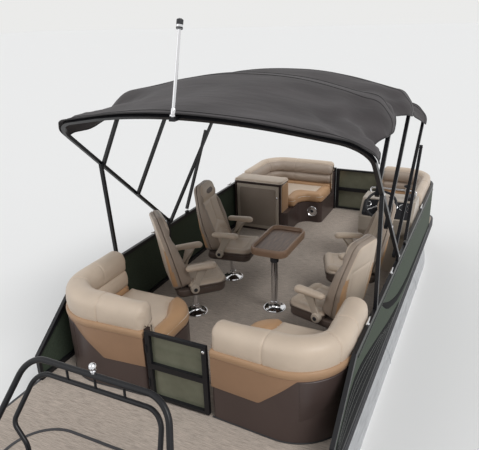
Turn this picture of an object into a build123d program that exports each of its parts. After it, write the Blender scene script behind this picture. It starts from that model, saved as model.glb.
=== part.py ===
"""Pontoon boat: two floats, a fenced deck with seats, a folding top and an outboard.

Millimetres. +X starboard, +Y towards the bow, +Z up, origin amidships on the waterline.
"""

import os
from math import atan2, cos, degrees, radians, sin, tan

from build123d import *

os.makedirs("parts", exist_ok=True)

# Deck and floats
deck_length = 6800
deck_half = 1270
deck_top = 500
deck_thick = 30
deck_corner = 260
well_half = 430
well_depth = 445
rub_rail_thick = 25
rub_rail_height = 100
tube_radius = 317.5
tube_x = 980
tube_aft_gap = 20
tube_nose = 930
keel_width = 44
keel_depth = 14
strake_size = 60
riser_width = 110
member_height = 75
member_flange = 38
member_wall = 5
member_pitch = 400
member_inset = 35
trim_width = 24
trim_height = 5
trim_half = 930
trim_corner = 330
trim_front_gap = 560

# Fences and gates
fence_overhang = 20
fence_tube = 32
fence_height = 650
fence_corner = 420
fence_bow_gap = 290
fence_panel = 5
post_size = 20
rail_height = 40
fence_aft_gap = 200
fence_aft_height = 240
fence_slope = 500
gate_from_stern = 1650
rear_gate_half = 268
rear_gate_height = 630
gate_tube = 40
gate_gap = 8
bow_gate_port = -140
bow_gate_starboard = 555
gate_panel = 6

# Stern seats
pod_side_gap = 5
pod_gate_gap = 24
pod_gate_reach = 10
pod_skew = 60
pod_length = 850
pod_bow_corner = 260
pod_stern_corner = 430
pod_gate_corner = 40
pod_seat_base = 300
pod_rim = 600
pod_wall = 110
pod_skin = 20
backrest_thick = 205
backrest_top = 805
lumbar_thick = 70
lounge_back_thick = 175
cushion_thick = 130
soft_gap = 6
lid_gap = 12
bolster_width = 130
bolster_rise = 25

# Bow seats
lounge_length = 1208
lounge_bow_gap = 20
lounge_inner_port = 473
lounge_return = 640
lounge_back_top = 770
lounge_corner = 160
cabinet_depth = 260
cabinet_top = 760

# Helm and table
console_gap = 140
console_length = 560
console_width = 590
console_top = 840
console_toe = 60
console_lip = 160
console_lip_slope = 80
console_bow_cut = 120
console_bow_drop = 230
dash_depth = 180
dash_rise = 170
helm_from_side = 240
helm_radius = 165
helm_rim = 15
helm_column = 85
helm_shaft = 24
helm_hub = 42
helm_spoke = 26
table_x = 50
table_y = 1970
table_width = 390
table_length = 680
table_height = 640
table_thick = 42
table_post = 70
table_post_across = 70
table_post_aft = 290
table_corner_share = 0.24

# Chairs: centre x, centre y from the rear gate, and heading from +X in degrees
chairs = [
    (-600, 1300, 44),
    (-590, 2150, 7),
    (790, 1290, 164),
    (795, 2142, 200),
]
seat_width = 480
seat_depth = 470
seat_pan = 318
seat_top = 470
chair_back_top = 1135
chair_back_thick = 105
chair_back_lean = 180
chair_shell = 40
chair_back_foot = 70
chair_back_waist = 330
chair_back_flare = 10
chair_head_in = 75
chair_arm_top = 660
chair_arm_length = 290
chair_arm_width = 85
chair_arm_thick = 58
chair_arm_reach = 300
pedestal_radius = 28
pedestal_base = 115

# Folding top, in the plane of its side frames, from the rear gate and the deck
bow_tube = 30
mount_y = 1921
mount_z = 700
main_inset = 15
bow_side_gap = 5
corner_radius = 280
crown_radius = 3200
pin_radius = 5
pin_play = 0.05
bow_end = 22
main_angle = 137.6
main_span = 1956
main_shoulder = 2040
main_rise = 340
second_share = 0.702
second_angle = 54.0
second_shoulder = 680
second_rise = 340
third_share = 0.378
third_angle = 48.0
third_shoulder = 1250
third_rise = 370
front_angle = 40.5
front_shoulder = 1760
front_rise = 360
rear_strut_foot = 970
front_strut_share = 1260
front_strut_foot = 2330
canopy_thick = 5
canopy_clear = 34
canopy_skirt = 195
canopy_draw = 95
canopy_sag_crown = 3000
light_pole_height = 595
light_pole_radius = 12
light_pole_lean = 16

# Tow bar
tow_tube = 20
tow_top_y = -868
tow_top_z = 900
tow_lower_drop = 105
tow_corner = 190
hook_neck = 12
hook_ball = 24

# Outboard motor
transom_thick = 45
transom_top = 480
transom_half = 400
tilt_gap = 10
tilt_z = 530
steer_behind_tilt = 100
swivel_radius = 35
leg_half = 60
leg_ahead = 58
leg_behind = 210
propeller_z = -305
propeller_radius = 180
propeller_behind_steer = 340
cowl_half = 190
cowl_length = 560
cowl_behind_steer = 370
cowl_base = 630
cowl_top = 1100
cowl_wall = 6
bracket_thick = 28
bracket_half = 130
tilt_bar = 16
yoke_radius = 48
swivel_low = 180
swivel_high = 490
blade_count = 3
blade_pitch = 28

# Worked out from the sizes above
gate_y = -deck_length / 2 + gate_from_stern
fence_half = deck_half + fence_overhang
main_half = fence_half - main_inset
inner_half = main_half - bow_tube - bow_side_gap
tube_aft = -deck_length / 2 + tube_aft_gap
tube_straight = deck_length - tube_aft_gap - tube_nose
member_half = deck_half - member_inset
deck_aft = -deck_length / 2
deck_bow = deck_length / 2
well_edge = deck_aft + well_depth
member_top = deck_top - deck_thick
member_base = member_top - member_height
fence_bow = deck_bow - fence_bow_gap
fence_aft = gate_y - fence_aft_gap
top_rail_aft = fence_aft + fence_slope
pod_outer = fence_half - fence_tube - pod_side_gap
pod_inner = rear_gate_half + pod_gate_gap
transom_face = well_edge - transom_thick
tilt_y = transom_face - tilt_gap
steer_y = tilt_y - steer_behind_tilt
propeller_y = steer_y - propeller_behind_steer
cowl_aft = steer_y - cowl_behind_steer
cowl_front = cowl_aft + cowl_length
leg_front = steer_y - leg_ahead
leg_aft = steer_y - leg_behind


def write(piece, name):
    """Label a finished piece and write its file."""
    piece.label = name
    export_step(piece, f"parts/{name}.step")


def write_pair(piece, stem):
    """Write a starboard piece and its mirror image to port."""
    write(piece, f"{stem}_starboard")
    write(mirror(piece, about=Plane.YZ), f"{stem}_port")


def side_box(builder_mode, x_range, y_range, z_range):
    """A box by its limits, added to or cut from the builder around it."""
    size = [high - low for low, high in (x_range, y_range, z_range)]
    middle = [(high + low) / 2 for low, high in (x_range, y_range, z_range)]
    with Locations(tuple(middle)):
        Box(*size, mode=builder_mode)


def plan(points, radii):
    """A closed outline in plan whose corners are rounded one by one."""
    with BuildSketch() as sketch:
        with BuildLine() as outline:
            Polyline(*points, close=True)
        make_face()
        for point, radius in zip(points, radii):
            if radius:
                corner = sketch.vertices().sort_by_distance((point[0], point[1], 0))[0]
                fillet(corner, radius)
    return sketch.sketch


def prism(points, radii, low, high):
    """An outline raised from one height to another."""
    outline = plan(points, radii)
    with BuildPart() as solid:
        with BuildSketch(Plane.XY.offset(low)):
            add(outline)
        extrude(amount=high - low)
    return solid.part


def profile(points, x_low, x_high):
    """A side view of (y, z) points, given thickness from one x to another."""
    with BuildPart() as solid:
        with BuildSketch(Plane.YZ.offset(x_low)):
            with BuildLine():
                Polyline(*points, close=True)
            make_face()
        extrude(amount=x_high - x_low)
    return solid.part


# Floats

nose_sections = [
    # ahead of the straight part, radius, rise of the centre
    (0, tube_radius, 0),
    (320, tube_radius * 0.93, 14),
    (640, tube_radius * 0.66, 74),
    (840, tube_radius * 0.30, 138),
]

with BuildPart() as pontoon:
    with BuildSketch(Plane(origin=(tube_x, tube_aft, 0), x_dir=(1, 0, 0), z_dir=(0, 1, 0))):
        Circle(tube_radius)
    extrude(amount=tube_straight)
    for ahead, radius, rise in nose_sections:
        section = Plane(
            origin=(tube_x, tube_aft + tube_straight + ahead, rise),
            x_dir=(1, 0, 0),
            z_dir=(0, 1, 0),
        )
        with BuildSketch(section):
            Circle(radius)
    loft()
    tube_end = tube_aft + tube_straight
    side_box(
        Mode.ADD,
        (tube_x - riser_width / 2, tube_x + riser_width / 2),
        (tube_aft + 40, tube_end + 200),
        (tube_radius - 40, member_base),
    )
    side_box(
        Mode.ADD,
        (tube_x - keel_width / 2, tube_x + keel_width / 2),
        (tube_aft + 60, tube_end),
        (-tube_radius - keel_depth, -tube_radius + 10),
    )
    for strake_side in (-1, 1):
        angle = radians(38)
        strake_x = tube_x + strake_side * tube_radius * cos(angle)
        strake_z = -tube_radius * sin(angle)
        with BuildSketch(Plane.XZ.offset(-(tube_aft + 400))):
            with BuildLine():
                Polyline(
                    (strake_x, strake_z + strake_size / 2),
                    (strake_x + strake_side * strake_size, strake_z),
                    (strake_x - strake_side * strake_size / 2, strake_z - strake_size / 2),
                    close=True,
                )
            make_face()
        extrude(amount=-(tube_straight - 700))
write_pair(pontoon.part, "pontoon")

# Cross members, split at the motor well

member_count = int((deck_length - 200) / member_pitch) + 1
member_ys = [tube_aft + 60 + member_pitch * n for n in range(member_count)]

with BuildPart() as cross_members:
    for member_y in member_ys:
        web = (member_y, member_y + member_wall)
        flange = (member_y, member_y + member_flange)
        behind_well = member_y < well_edge
        inner = well_half + 40 if behind_well else 0
        spans = [(-member_half, -inner), (inner, member_half)] if inner else [(-member_half, member_half)]
        for span in spans:
            side_box(Mode.ADD, span, web, (member_base, member_top))
            side_box(Mode.ADD, span, flange, (member_base, member_base + member_wall))
            side_box(Mode.ADD, span, flange, (member_top - member_wall, member_top))
write(cross_members.part, "cross_members")

# Motor pod and transom

pod_side_view = [
    (well_edge, member_base),
    (well_edge, -60),
    (well_edge + 500, -60),
    (well_edge + 1100, 240),
    (well_edge + 1100, member_base),
]
with BuildPart() as motor_pod:
    add(profile(pod_side_view, -330, 330))
    side_box(
        Mode.ADD,
        (-transom_half, transom_half),
        (well_edge - transom_thick, well_edge),
        (-60, transom_top),
    )
write(motor_pod.part, "motor_pod")

# Deck

with BuildPart() as deck:
    with BuildSketch(Plane.XY.offset(deck_top - deck_thick)):
        Rectangle(2 * deck_half, deck_length)
    extrude(amount=deck_thick)
    fillet(deck.edges().filter_by(Axis.Z).group_by(Axis.Y)[-1], deck_corner)
    side_box(
        Mode.SUBTRACT,
        (-well_half, well_half),
        (deck_aft - 10, well_edge),
        (deck_top - deck_thick - 10, deck_top + 10),
    )
write(deck.part, "deck")

# Rub rail round the deck, and the raised trim round the motor well

rail_half = deck_half + rub_rail_thick
rail_outline = [
    (-rail_half, deck_aft - rub_rail_thick),
    (rail_half, deck_aft - rub_rail_thick),
    (rail_half, deck_bow + rub_rail_thick),
    (-rail_half, deck_bow + rub_rail_thick),
]
deck_outline = [
    (-deck_half, deck_aft),
    (deck_half, deck_aft),
    (deck_half, deck_bow),
    (-deck_half, deck_bow),
]
rail_corners = [0, 0, deck_corner + rub_rail_thick, deck_corner + rub_rail_thick]
deck_corners = [0, 0, deck_corner, deck_corner]
trim_front = gate_y - trim_front_gap
trim_outline = [
    (-trim_half, deck_aft),
    (trim_half, deck_aft),
    (trim_half, trim_front),
    (-trim_half, trim_front),
]
trim_inside = [
    (-trim_half + trim_width, deck_aft - 1),
    (trim_half - trim_width, deck_aft - 1),
    (trim_half - trim_width, trim_front - trim_width),
    (-trim_half + trim_width, trim_front - trim_width),
]
with BuildPart() as deck_trim:
    add(prism(rail_outline, rail_corners, deck_top - rub_rail_height, deck_top))
    add(
        prism(deck_outline, deck_corners, deck_top - rub_rail_height - 1, deck_top + 1),
        mode=Mode.SUBTRACT,
    )
    side_box(
        Mode.SUBTRACT,
        (-well_half, well_half),
        (deck_aft - 2 * rub_rail_thick, deck_aft + 1),
        (deck_top - rub_rail_height - 1, deck_top + trim_height + 1),
    )
    trim = prism(trim_outline, [0, 0, trim_corner, trim_corner], deck_top, deck_top + trim_height)
    hollow = prism(
        trim_inside,
        [0, 0, trim_corner - trim_width, trim_corner - trim_width],
        deck_top - 1,
        deck_top + trim_height + 1,
    )
    add(trim - hollow)
write(deck_trim.part, "deck_trim")

# Fences: a bent wall from the stern, round the bow corner, to the bow gate


def bent_wall(side, aft, end_x, outside, thick, low, high):
    """A wall that follows the fence line, `outside` from the middle at its outer face."""
    bow = fence_bow - (fence_half - outside)
    corner = fence_corner - (fence_half - outside)
    outer = [(side * outside, aft), (side * outside, bow), (end_x, bow)]
    inner = [(end_x, bow - thick), (side * (outside - thick), bow - thick), (side * (outside - thick), aft)]
    return prism(outer + inner, [0, corner, 0, 0, corner - thick, 0], low, high)


post_ys = [top_rail_aft + 20, gate_y + mount_y]
post_ys += [gate_y + (fence_bow - gate_y) * share for share in (0.20, 0.563, 0.77)]
rail_low = deck_top + rail_height
rail_high = deck_top + fence_height - rail_height
slope_foot = (fence_aft, deck_top + fence_aft_height)
slope_head = (top_rail_aft, deck_top + fence_height)

for side, name, end_x in (
    (1, "starboard", bow_gate_starboard + gate_gap),
    (-1, "port", bow_gate_port - gate_gap),
):
    inside = side * (fence_half - fence_tube)
    outside = side * fence_half
    across = (min(inside, outside), max(inside, outside))
    with BuildPart() as frame:
        add(bent_wall(side, fence_aft, end_x, fence_half, fence_tube, deck_top, rail_low))
        add(
            bent_wall(
                side, top_rail_aft, end_x, fence_half, fence_tube, rail_high, deck_top + fence_height
            )
        )
        slope = [
            (fence_aft, deck_top),
            slope_foot,
            slope_head,
            (top_rail_aft + fence_tube, deck_top + fence_height),
            (top_rail_aft + fence_tube, rail_high),
            (fence_aft + fence_tube, deck_top + fence_aft_height - 12),
            (fence_aft + fence_tube, deck_top),
        ]
        add(profile(slope, *across))
        for post_y in post_ys:
            post_x = side * (fence_half - fence_panel - post_size)
            side_box(
                Mode.ADD,
                (min(post_x, post_x + side * post_size), max(post_x, post_x + side * post_size)),
                (post_y - post_size, post_y + post_size),
                (deck_top, deck_top + fence_height),
            )
        bow_posts = [end_x + side * gate_tube / 2, side * (fence_half - fence_corner - 40)]
        for post_x in bow_posts:
            side_box(
                Mode.ADD,
                (post_x - gate_tube / 2, post_x + gate_tube / 2),
                (fence_bow - fence_tube, fence_bow - fence_panel),
                (deck_top, deck_top + fence_height),
            )
    write(frame.part, f"fence_frame_{name}")

    with BuildPart() as panel:
        add(bent_wall(side, fence_aft + 1, end_x, fence_half, fence_panel, rail_low, rail_high))
        add(
            profile(
                [
                    (fence_aft - 60, rail_low - 1),
                    (fence_aft - 60, rail_high + 200),
                    (top_rail_aft + fence_tube + 2, rail_high + 200),
                    (top_rail_aft + fence_tube + 2, rail_high - 2),
                    (fence_aft + fence_tube + 2, deck_top + fence_aft_height - 14),
                    (fence_aft + fence_tube + 2, rail_low - 1),
                ],
                across[0] - 5,
                across[1] + 5,
            ),
            mode=Mode.SUBTRACT,
        )
    write(panel.part, f"fence_panel_{name}")

# Gates: a tube frame with a middle rail and a see-through panel behind it


def gate(x_low, x_high, y_low, height, name):
    """Write the frame and the panel of one gate that closes the way at y_low."""
    foot = deck_top + 15
    head = deck_top + height
    middle = (foot + head) / 2
    y_range = (y_low, y_low + fence_tube)
    with BuildPart() as frame:
        side_box(Mode.ADD, (x_low, x_high), y_range, (foot, head))
        for low, high in ((foot, middle), (middle, head)):
            side_box(
                Mode.SUBTRACT,
                (x_low + gate_tube, x_high - gate_tube),
                y_range,
                (low + gate_tube / 2 + 4, high - gate_tube / 2 - 4),
            )
    write(frame.part, f"{name}_frame")
    with BuildPart() as panel:
        side_box(
            Mode.ADD,
            (x_low + gate_tube / 2, x_high - gate_tube / 2),
            (y_low + fence_tube, y_low + fence_tube + gate_panel),
            (foot + gate_tube / 2, head - gate_tube / 2),
        )
    write(panel.part, f"{name}_panel")


gate(-rear_gate_half, rear_gate_half, gate_y - 20, rear_gate_height, "rear_gate")
gate(bow_gate_port, bow_gate_starboard, fence_bow - fence_tube, fence_height - 10, "bow_gate")

# Stern seats, to starboard, mirrored to port

pod_aft = gate_y - pod_gate_reach
pod_bow = gate_y + pod_length


def inset(amount_in, amount_out, low, high, length=0, skew=pod_skew):
    """The seat's outline drawn in by one amount on its free sides and another on its back."""
    points = [
        (pod_inner + amount_in, pod_aft + amount_out),
        (pod_outer - amount_out, pod_aft - skew + amount_out),
        (pod_outer - amount_out, pod_bow - amount_in - length),
        (pod_inner + amount_in, pod_bow - amount_in - length),
    ]
    gate_corner = pod_gate_corner - amount_in if 0 <= amount_in < pod_gate_corner else 0
    radii = [gate_corner, pod_stern_corner - amount_out, 0, max(pod_bow_corner - amount_in, 20)]
    return prism(points, radii, low, high)


seat_low = deck_top + pod_seat_base
seat_high = seat_low + cushion_thick
rim = deck_top + pod_rim
hollow_low = deck_top + pod_skin
pod_back_inside = backrest_thick + soft_gap
lounge_back_inside = max(pod_wall + lumbar_thick, lounge_back_thick) + soft_gap

with BuildPart() as pod_shell:
    add(inset(0, 0, deck_top, rim))
    add(inset(-60, pod_wall, seat_low, rim + 10, -60), mode=Mode.SUBTRACT)
    add(inset(pod_skin, pod_wall + pod_skin, hollow_low, seat_low + 1), mode=Mode.SUBTRACT)
write_pair(pod_shell.part, "stern_shell")

with BuildPart() as pod_back:
    add(inset(0, 0, rim, deck_top + backrest_top))
    add(inset(0, pod_wall, seat_low + cushion_thick * 0.2, rim + 1))
    add(inset(-60, backrest_thick, seat_low, deck_top + backrest_top + 1, -60, 0), mode=Mode.SUBTRACT)
    fillet(pod_back.edges().filter_by(Axis.Z).group_by(Axis.Y)[-1], 20)
write_pair(pod_back.part, "stern_backrest")

with BuildPart() as pod_seat:
    add(inset(0, pod_back_inside, seat_low + 1, seat_high, 0, 0))
    rise = inset(0, pod_back_inside, seat_high, seat_high + bolster_rise, 0, 0)
    dish = inset(bolster_width, pod_back_inside - 10, seat_high, seat_high + bolster_rise + 1, 0, 0)
    add(rise - dish)
write_pair(pod_seat.part, "stern_seat")

# Bow seats: an L that runs along the side and returns across the bow to the gate

lounge_bow = fence_bow - fence_tube - lounge_bow_gap
lounge_stern = lounge_bow - lounge_length
lounge_back_base = seat_low + cushion_thick * 0.2


def lounge_plan(side, inner_edge, end_x, back, front, aft, head=0):
    """The bow seat's L, drawn in from its back, its front and its aft end, and more from its bow."""
    outer = side * (pod_outer - back)
    inner = side * (inner_edge + front)
    end = end_x + side * front
    step = lounge_bow - lounge_return + front
    bow = lounge_bow - back - head
    if side > 0:
        points = [(outer, lounge_stern + aft), (outer, bow), (end, bow), (end, lounge_stern + aft)]
        return points, [0, fence_corner - back - 40, 0, lounge_corner]
    points = [
        (outer, lounge_stern + aft),
        (outer, bow),
        (end, bow),
        (end, step),
        (inner, step),
        (inner, lounge_stern + aft),
    ]
    return points, [0, fence_corner - back - 40, 0, 60, lounge_corner, 60]


for side, name, inner_edge, end_x in (
    (1, "starboard", bow_gate_starboard + pod_gate_gap, bow_gate_starboard + pod_gate_gap),
    (-1, "port", lounge_inner_port, bow_gate_port - pod_gate_gap),
):
    outline, radii = lounge_plan(side, inner_edge, end_x, 0, 0, 0)
    behind, behind_radii = lounge_plan(side, inner_edge, end_x, pod_wall, -60, -60)
    cabinet = cabinet_depth if side < 0 else 0
    inside, inside_radii = lounge_plan(
        side, inner_edge, end_x, pod_wall + pod_skin, pod_skin, max(cabinet, pod_skin)
    )
    lumbar, lumbar_radii = lounge_plan(side, inner_edge, end_x, pod_wall + lumbar_thick, -60, -60)
    thick, thick_radii = lounge_plan(side, inner_edge, end_x, lounge_back_thick, -60, -60)
    cushion, cushion_radii = lounge_plan(side, inner_edge, end_x, lounge_back_inside, 0, cabinet, lid_gap)
    with BuildPart() as base:
        add(prism(outline, radii, deck_top, rim))
        add(prism(behind, behind_radii, seat_low, rim + 10), mode=Mode.SUBTRACT)
        add(prism(inside, inside_radii, hollow_low, seat_low + 1), mode=Mode.SUBTRACT)
        if cabinet:
            cab = (side * (pod_outer - 2), side * (inner_edge + 90))
            side_box(
                Mode.ADD,
                (cab[0], cab[1]),
                (lounge_stern, lounge_stern + cabinet_depth - soft_gap),
                (seat_low - 5, deck_top + cabinet_top - cushion_thick / 2),
            )
            side_box(
                Mode.SUBTRACT,
                (cab[0] + pod_skin, cab[1] - pod_skin),
                (lounge_stern - 1, lounge_stern + cabinet_depth - soft_gap - pod_skin),
                (hollow_low, deck_top + cabinet_top - cushion_thick / 2 - pod_skin),
            )
    write(base.part, f"bow_lounge_shell_{name}")
    with BuildPart() as back:
        add(prism(outline, radii, rim, deck_top + lounge_back_top))
        add(prism(thick, thick_radii, rim - 1, deck_top + lounge_back_top + 1), mode=Mode.SUBTRACT)
        add(prism(*lounge_plan(side, inner_edge, end_x, pod_wall, 0, 0), lounge_back_base, rim))
        add(prism(lumbar, lumbar_radii, lounge_back_base - 1, rim + 1), mode=Mode.SUBTRACT)
        if cabinet:
            side_box(
                Mode.SUBTRACT,
                (-1400, -300),
                (lounge_stern - 10, lounge_stern + cabinet),
                (seat_low, deck_top + 1000),
            )
    write(back.part, f"bow_backrest_{name}")
    with BuildPart() as seat:
        add(prism(cushion, cushion_radii, seat_low + 1, seat_high))
    write(seat.part, f"bow_seat_{name}")

# Cabinet door on the stern end of the port bow seat

door_thick = 18
door_edge = 12
door_port = -(pod_outer - 2) + pod_skin
door_starboard = -(lounge_inner_port + 90) - pod_skin
door_top = deck_top + cabinet_top - cushion_thick / 2 - pod_skin
with BuildPart() as cabinet_door:
    side_box(
        Mode.ADD,
        (door_port + door_edge, door_starboard - door_edge),
        (lounge_stern, lounge_stern + door_thick),
        (hollow_low + door_edge, door_top - door_edge),
    )
write(cabinet_door.part, "cabinet_door")

# Helm: console and wheel

console_stern = lounge_stern - console_gap - console_length
console_x = (pod_outer - console_width, pod_outer)
dash_low = deck_top + console_top - dash_rise
dash_high = deck_top + console_top
console_side = [
    (console_stern + console_toe, deck_top),
    (console_stern + console_toe, dash_low - console_lip - console_lip_slope),
    (console_stern, dash_low - console_lip),
    (console_stern, dash_low),
    (console_stern + dash_depth, dash_high),
    (console_stern + console_length - console_bow_cut, dash_high),
    (console_stern + console_length, dash_high - console_bow_drop),
    (console_stern + console_length, deck_top),
]
console_hollow = [
    (console_stern + console_toe + pod_skin, deck_top - 1),
    (console_stern + console_toe + pod_skin, dash_low - console_lip - console_lip_slope + pod_skin),
    (console_stern + pod_skin, dash_low - console_lip + pod_skin),
    (console_stern + pod_skin, dash_low - pod_skin),
    (console_stern + dash_depth, dash_high - 2 * pod_skin),
    (console_stern + console_length - console_bow_cut - pod_skin, dash_high - 2 * pod_skin),
    (console_stern + console_length - pod_skin, dash_high - console_bow_drop - pod_skin),
    (console_stern + console_length - pod_skin, deck_top - 1),
]
dash_angle = atan2(dash_high - dash_low, dash_depth)
helm_x = console_x[0] + helm_from_side
helm_axis = (0, -sin(dash_angle), cos(dash_angle))
dash_middle = (helm_x, console_stern + dash_depth / 2, (dash_low + dash_high) / 2)


def along_helm(distance):
    """A plane square to the helm's shaft, so far off the dash."""
    origin = tuple(point + part * distance for point, part in zip(dash_middle, helm_axis))
    return Plane(origin=origin, x_dir=(1, 0, 0), z_dir=helm_axis)


with BuildPart() as console:
    add(profile(console_side, *console_x))
    add(profile(console_hollow, console_x[0] + pod_skin, console_x[1] - pod_skin), mode=Mode.SUBTRACT)
    with BuildSketch(along_helm(-8)):
        Circle(helm_shaft)
    extrude(amount=helm_column + 8)
write(console.part, "console")

with BuildPart() as steering_wheel:
    with Locations(along_helm(helm_column + 20)):
        Torus(helm_radius, helm_rim)
        Cylinder(helm_hub, 2 * helm_rim)
        with PolarLocations(helm_radius / 2, 3, start_angle=90):
            Box(helm_radius, helm_spoke, 9)
write(steering_wheel.part, "steering_wheel")

# Table

with BuildPart() as table_top:
    with BuildSketch(Plane.XY.offset(deck_top + table_height - table_thick)):
        with Locations((table_x, gate_y + table_y)):
            RectangleRounded(table_width, table_length, table_width * table_corner_share)
    extrude(amount=table_thick)
write(table_top.part, "table_top")

with BuildPart() as table_pedestal:
    with BuildSketch(Plane.XY.offset(deck_top)):
        with Locations((table_x + table_post_across, gate_y + table_y - table_post_aft)):
            Circle(pedestal_base)
    extrude(amount=14)
    with BuildSketch(Plane.XY.offset(deck_top)):
        with Locations((table_x + table_post_across, gate_y + table_y - table_post_aft)):
            Circle(table_post / 2)
    extrude(amount=table_height - table_thick)
write(table_pedestal.part, "table_pedestal")

# Chairs, modelled facing +X about their own post

seat_front = seat_depth / 2 + 45
back_foot = -seat_depth / 2 + 65


def chair_back(front, rear, front_foot, rear_foot):
    """A slice of the leaning back, by how far it reaches ahead and behind at its head and its foot."""
    foot = deck_top + seat_pan + chair_back_foot
    head = deck_top + chair_back_top
    shape = [
        (-seat_width / 2, foot),
        (seat_width / 2, foot),
        (seat_width / 2 + chair_back_flare, foot + chair_back_waist),
        (seat_width / 2 - chair_head_in, head),
        (-seat_width / 2 + chair_head_in, head),
        (-seat_width / 2 - chair_back_flare, foot + chair_back_waist),
    ]
    with BuildPart() as slab:
        with BuildSketch(Plane.XZ.offset(-seat_width)):
            with BuildLine():
                Polyline(
                    (back_foot + front_foot, foot),
                    (back_foot + front - chair_back_lean, head),
                    (back_foot - rear - chair_back_lean, head),
                    (back_foot - rear_foot, foot),
                    close=True,
                )
            make_face()
        extrude(amount=2 * seat_width)
        with BuildSketch(Plane.YZ.offset(-2 * seat_depth)):
            with BuildLine() as outline:
                Polyline(*shape, close=True)
            make_face()
            fillet(outline.vertices().group_by(Axis.Y)[-1], 70)
        extrude(amount=4 * seat_depth, mode=Mode.INTERSECT)
    return slab.part


with BuildPart() as chair_frame:
    side_box(
        Mode.ADD,
        (back_foot - 40, seat_front - 20),
        (-seat_width / 2, seat_width / 2),
        (deck_top + seat_pan, deck_top + seat_pan + 65),
    )
    fillet(chair_frame.edges().filter_by(Axis.Z), 50)
    side_box(
        Mode.ADD,
        (back_foot - 45, back_foot - 5),
        (-seat_width / 2 + 40, seat_width / 2 - 40),
        (deck_top + seat_pan + 40, deck_top + seat_pan + 90),
    )
    add(chair_back(0, chair_shell, 0, 2 * chair_shell))
    for hand in (-1, 1):
        arm_in = hand * (chair_arm_reach - chair_arm_width + 20)
        arm_out = hand * chair_arm_reach
        arm_rear = back_foot + 46
        side_box(
            Mode.ADD,
            (arm_rear, arm_rear + chair_arm_length),
            (min(arm_in, arm_out), max(arm_in, arm_out)),
            (deck_top + chair_arm_top - chair_arm_thick, deck_top + chair_arm_top),
        )
        bar_in = hand * (seat_width / 2 + 6)
        bar_out = hand * (seat_width / 2 + 30)
        lug_in = hand * (seat_width / 2 - 20)
        with BuildSketch(Plane.XZ.offset(-max(bar_in, bar_out))):
            with BuildLine():
                Polyline(
                    (arm_rear + 40, deck_top + seat_pan + 110),
                    (arm_rear + 100, deck_top + seat_pan + 90),
                    (arm_rear + 200, deck_top + chair_arm_top - 20),
                    (arm_rear + 120, deck_top + chair_arm_top - 20),
                    close=True,
                )
            make_face()
        extrude(amount=24)
        side_box(
            Mode.ADD,
            (arm_rear + 35, arm_rear + 105),
            (min(lug_in, bar_out), max(lug_in, bar_out)),
            (deck_top + seat_pan + 20, deck_top + seat_pan + 60),
        )
        hub = (arm_rear + 70, (bar_in + bar_out) / 2, deck_top + seat_pan + 90)
        with Locations(Location(hub, (90, 0, 0))):
            Cylinder(38, abs(bar_out - bar_in))

with BuildPart() as chair_cushion:
    side_box(
        Mode.ADD,
        (back_foot + 80, seat_front),
        (-seat_width / 2 + 8, seat_width / 2 - 8),
        (deck_top + seat_pan + 66, deck_top + seat_top),
    )
    add(chair_back(chair_back_thick - chair_shell, -1, chair_back_thick, -1))
    side_box(
        Mode.SUBTRACT,
        (back_foot - 200, seat_front + 10),
        (-seat_width, seat_width),
        (deck_top, deck_top + seat_pan + 66),
    )

with BuildPart() as chair_pedestals:
    for chair_x, chair_y, heading in chairs:
        with BuildSketch(Plane.XY.offset(deck_top)):
            with Locations((chair_x, gate_y + chair_y)):
                Circle(pedestal_base)
        extrude(amount=12)
        with BuildSketch(Plane.XY.offset(deck_top)):
            with Locations((chair_x, gate_y + chair_y)):
                Circle(pedestal_radius)
        extrude(amount=seat_pan - 0.3)
write(chair_pedestals.part, "chair_pedestals")

for number, (chair_x, chair_y, heading) in enumerate(chairs, start=1):
    place = Location((chair_x, gate_y + chair_y, 0), (0, 0, heading))
    write(chair_frame.part.moved(place), f"chair_{number}_frame")
    write(chair_cushion.part.moved(place), f"chair_{number}_cushion")

# Folding top


def bow_plane(pivot, angle):
    """The plane of a bow: x across the boat, y up its legs from the pivot."""
    return Plane(
        origin=(0, gate_y + pivot[0], deck_top + pivot[1]),
        x_dir=(1, 0, 0),
        z_dir=(0, -sin(radians(angle)), cos(radians(angle))),
    )


def up_leg(pivot, angle, distance):
    """The point so far up a leg, as distances from the rear gate and the deck."""
    return pivot[0] + distance * cos(radians(angle)), pivot[1] + distance * sin(radians(angle))


def bow(pivot, angle, half, shoulder, rise, start):
    """A square tube bent into two legs and a crowned top."""
    plane = bow_plane(pivot, angle)
    with BuildPart() as tube:
        with BuildLine(plane) as path:
            FilletPolyline(
                (half, start),
                (half, shoulder),
                (0, shoulder + rise),
                (-half, shoulder),
                (-half, start),
                radius=[corner_radius, crown_radius, corner_radius],
            )
        with BuildSketch(Plane(origin=path.line @ 0, x_dir=(1, 0, 0), z_dir=path.line % 0)):
            Rectangle(bow_tube, bow_tube)
        sweep()
    return tube.part


def cross_pins(pivot, low, high, radius):
    """A pin through each side frame, between two distances from the middle."""
    with BuildPart() as pins:
        for side in (-1, 1):
            middle = (side * (low + high) / 2, gate_y + pivot[0], deck_top + pivot[1])
            with Locations(Location(middle, (0, 90, 0))):
                Cylinder(radius, high - low)
    return pins.part


def strut(x, start, end, overrun):
    """A straight square tube from one (y, z) point to another, on both sides."""
    run = ((end[0] - start[0]) ** 2 + (end[1] - start[1]) ** 2) ** 0.5
    angle = degrees(atan2(end[1] - start[1], end[0] - start[0]))
    with BuildPart() as tubes:
        for side in (-1, 1):
            base = bow_plane(start, angle)
            plane = Plane(
                origin=base.from_local_coords((side * x, -overrun, 0)),
                x_dir=(1, 0, 0),
                z_dir=(0, cos(radians(angle)), sin(radians(angle))),
            )
            with BuildSketch(plane):
                Rectangle(bow_tube, bow_tube)
            extrude(amount=run + overrun)
    return tubes.part


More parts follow.
